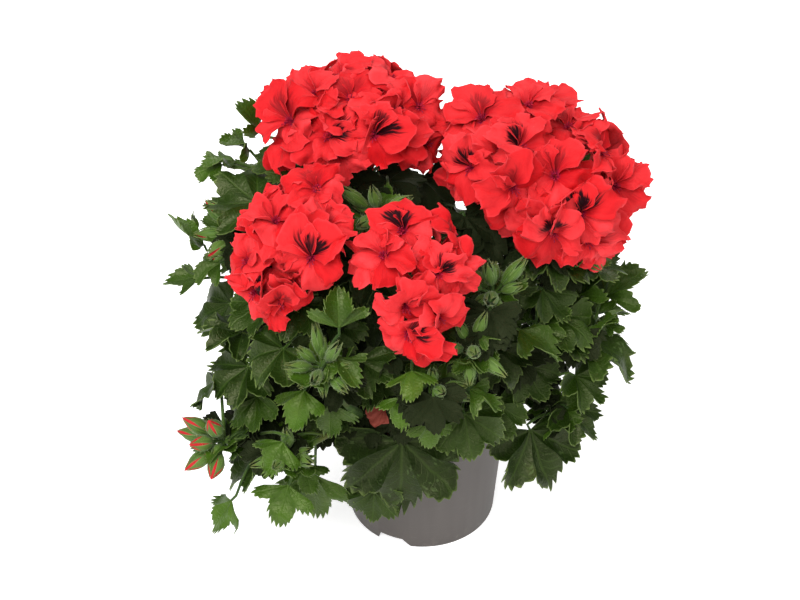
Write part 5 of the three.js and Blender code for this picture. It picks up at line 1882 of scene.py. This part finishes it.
# %% Dropped petal
DROPPED_AT = Vector((-23, -69, 142))
DROPPED_SIZE = 15
DROPPED_RANK = 950
DROPPED_LEAN = 35
facing = Vector((-0.23, -0.63, 0.74)).normalized()
upright = (UP - facing * facing.z).normalized()
dropped = dict(flowers[0], low=True, rank=DROPPED_RANK, throat=DROPPED_AT, size=DROPPED_SIZE)
dropped.update(facing=facing, upright=upright, sideways=upright.cross(facing))
dropped.update(planes=[], lean=DROPPED_LEAN)
petals = new_shape()
petal_sheet(petals, dropped, 2)
hand_over(make_piece("dropped_petal", petals, faded_shaded_finish), "petal")

# %% [markdown]
# The photograph's ground is plain white and its light is soft. A large pale floor, a big soft lamp
# in front above the plant, weaker ones at its right and behind it, and a pale sky give the same. A
# bright sky would fill the dark gaps between the leaves, so the sky and the floor give the plant
# little light, and Light Path shows them brighter where they are only looked at.

# %% Floor
FLOOR_HALF = 4
floor_mesh = bpy.data.meshes.new("floor")
corners = [(x * FLOOR_HALF, y * FLOOR_HALF, 0) for x, y in ((-1, -1), (1, -1), (1, 1), (-1, 1))]
floor_mesh.from_pydata(corners, [], [(0, 1, 2, 3)])
floor_finish, tree, shader = new_finish("pale floor", {"Specular IOR Level": 0.1})
patches = clouds(tree, object_place(tree), 2.0)
join(tree, shader.inputs["Base Color"], mix(tree, patches, (0.93, 0.93, 0.93), (0.95, 0.95, 0.95)))
shader.inputs["Roughness"].default_value = 0.9
shader.inputs["Emission Color"].default_value = (1, 1, 1, 1)
looked_at = tree.nodes.new("ShaderNodeLightPath").outputs["Is Camera Ray"]
join(tree, shader.inputs["Emission Strength"], calc(tree, "MULTIPLY_ADD", looked_at, 0.35, 0.3))
floor_mesh.materials.append(floor_finish)
floor = new_object("floor", floor_mesh)
print("floor of", 2 * FLOOR_HALF, "metres a side")

# %% Lights
def soft_lamp(name, spot, target, size, power):
    """A square soft lamp that looks at a target. Places are in metres."""
    data = bpy.data.lights.new(name, "AREA")
    data.size = size
    data.energy = power
    lamp = new_object(name, data)
    lamp.location = spot
    lamp.rotation_euler = (Vector(target) - Vector(spot)).to_track_quat("-Z", "Y").to_euler()
    print(name, "of", power, "watts at", spot)


soft_lamp("main_lamp", (-0.6, -1.1, 1.7), (0, 0, 0.15), 1.6, 56)
soft_lamp("right_lamp", (1.5, -0.6, 1.0), (0, 0, 0.15), 1.0, 8)
soft_lamp("back_lamp", (0.2, 1.3, 1.5), (0, 0, 0.2), 1.2, 18)

# %% Sky and view
SKY_LIGHT = 0.15
SKY_SHOWN_MORE = 0.7
world = bpy.data.worlds.new("pale sky")
world.use_nodes = True
tree = world.node_tree
sky = tree.nodes["Background"]
sky.inputs["Color"].default_value = (1, 1, 1, 1)
looked_at = tree.nodes.new("ShaderNodeLightPath").outputs["Is Camera Ray"]
strength = calc(tree, "MULTIPLY_ADD", looked_at, SKY_SHOWN_MORE, SKY_LIGHT)
join(tree, sky.inputs["Strength"], strength)
bpy.context.scene.world = world
bpy.context.scene.view_settings.view_transform = "Standard"
print("the sky lights with", SKY_LIGHT, "and is seen with", SKY_LIGHT + SKY_SHOWN_MORE)
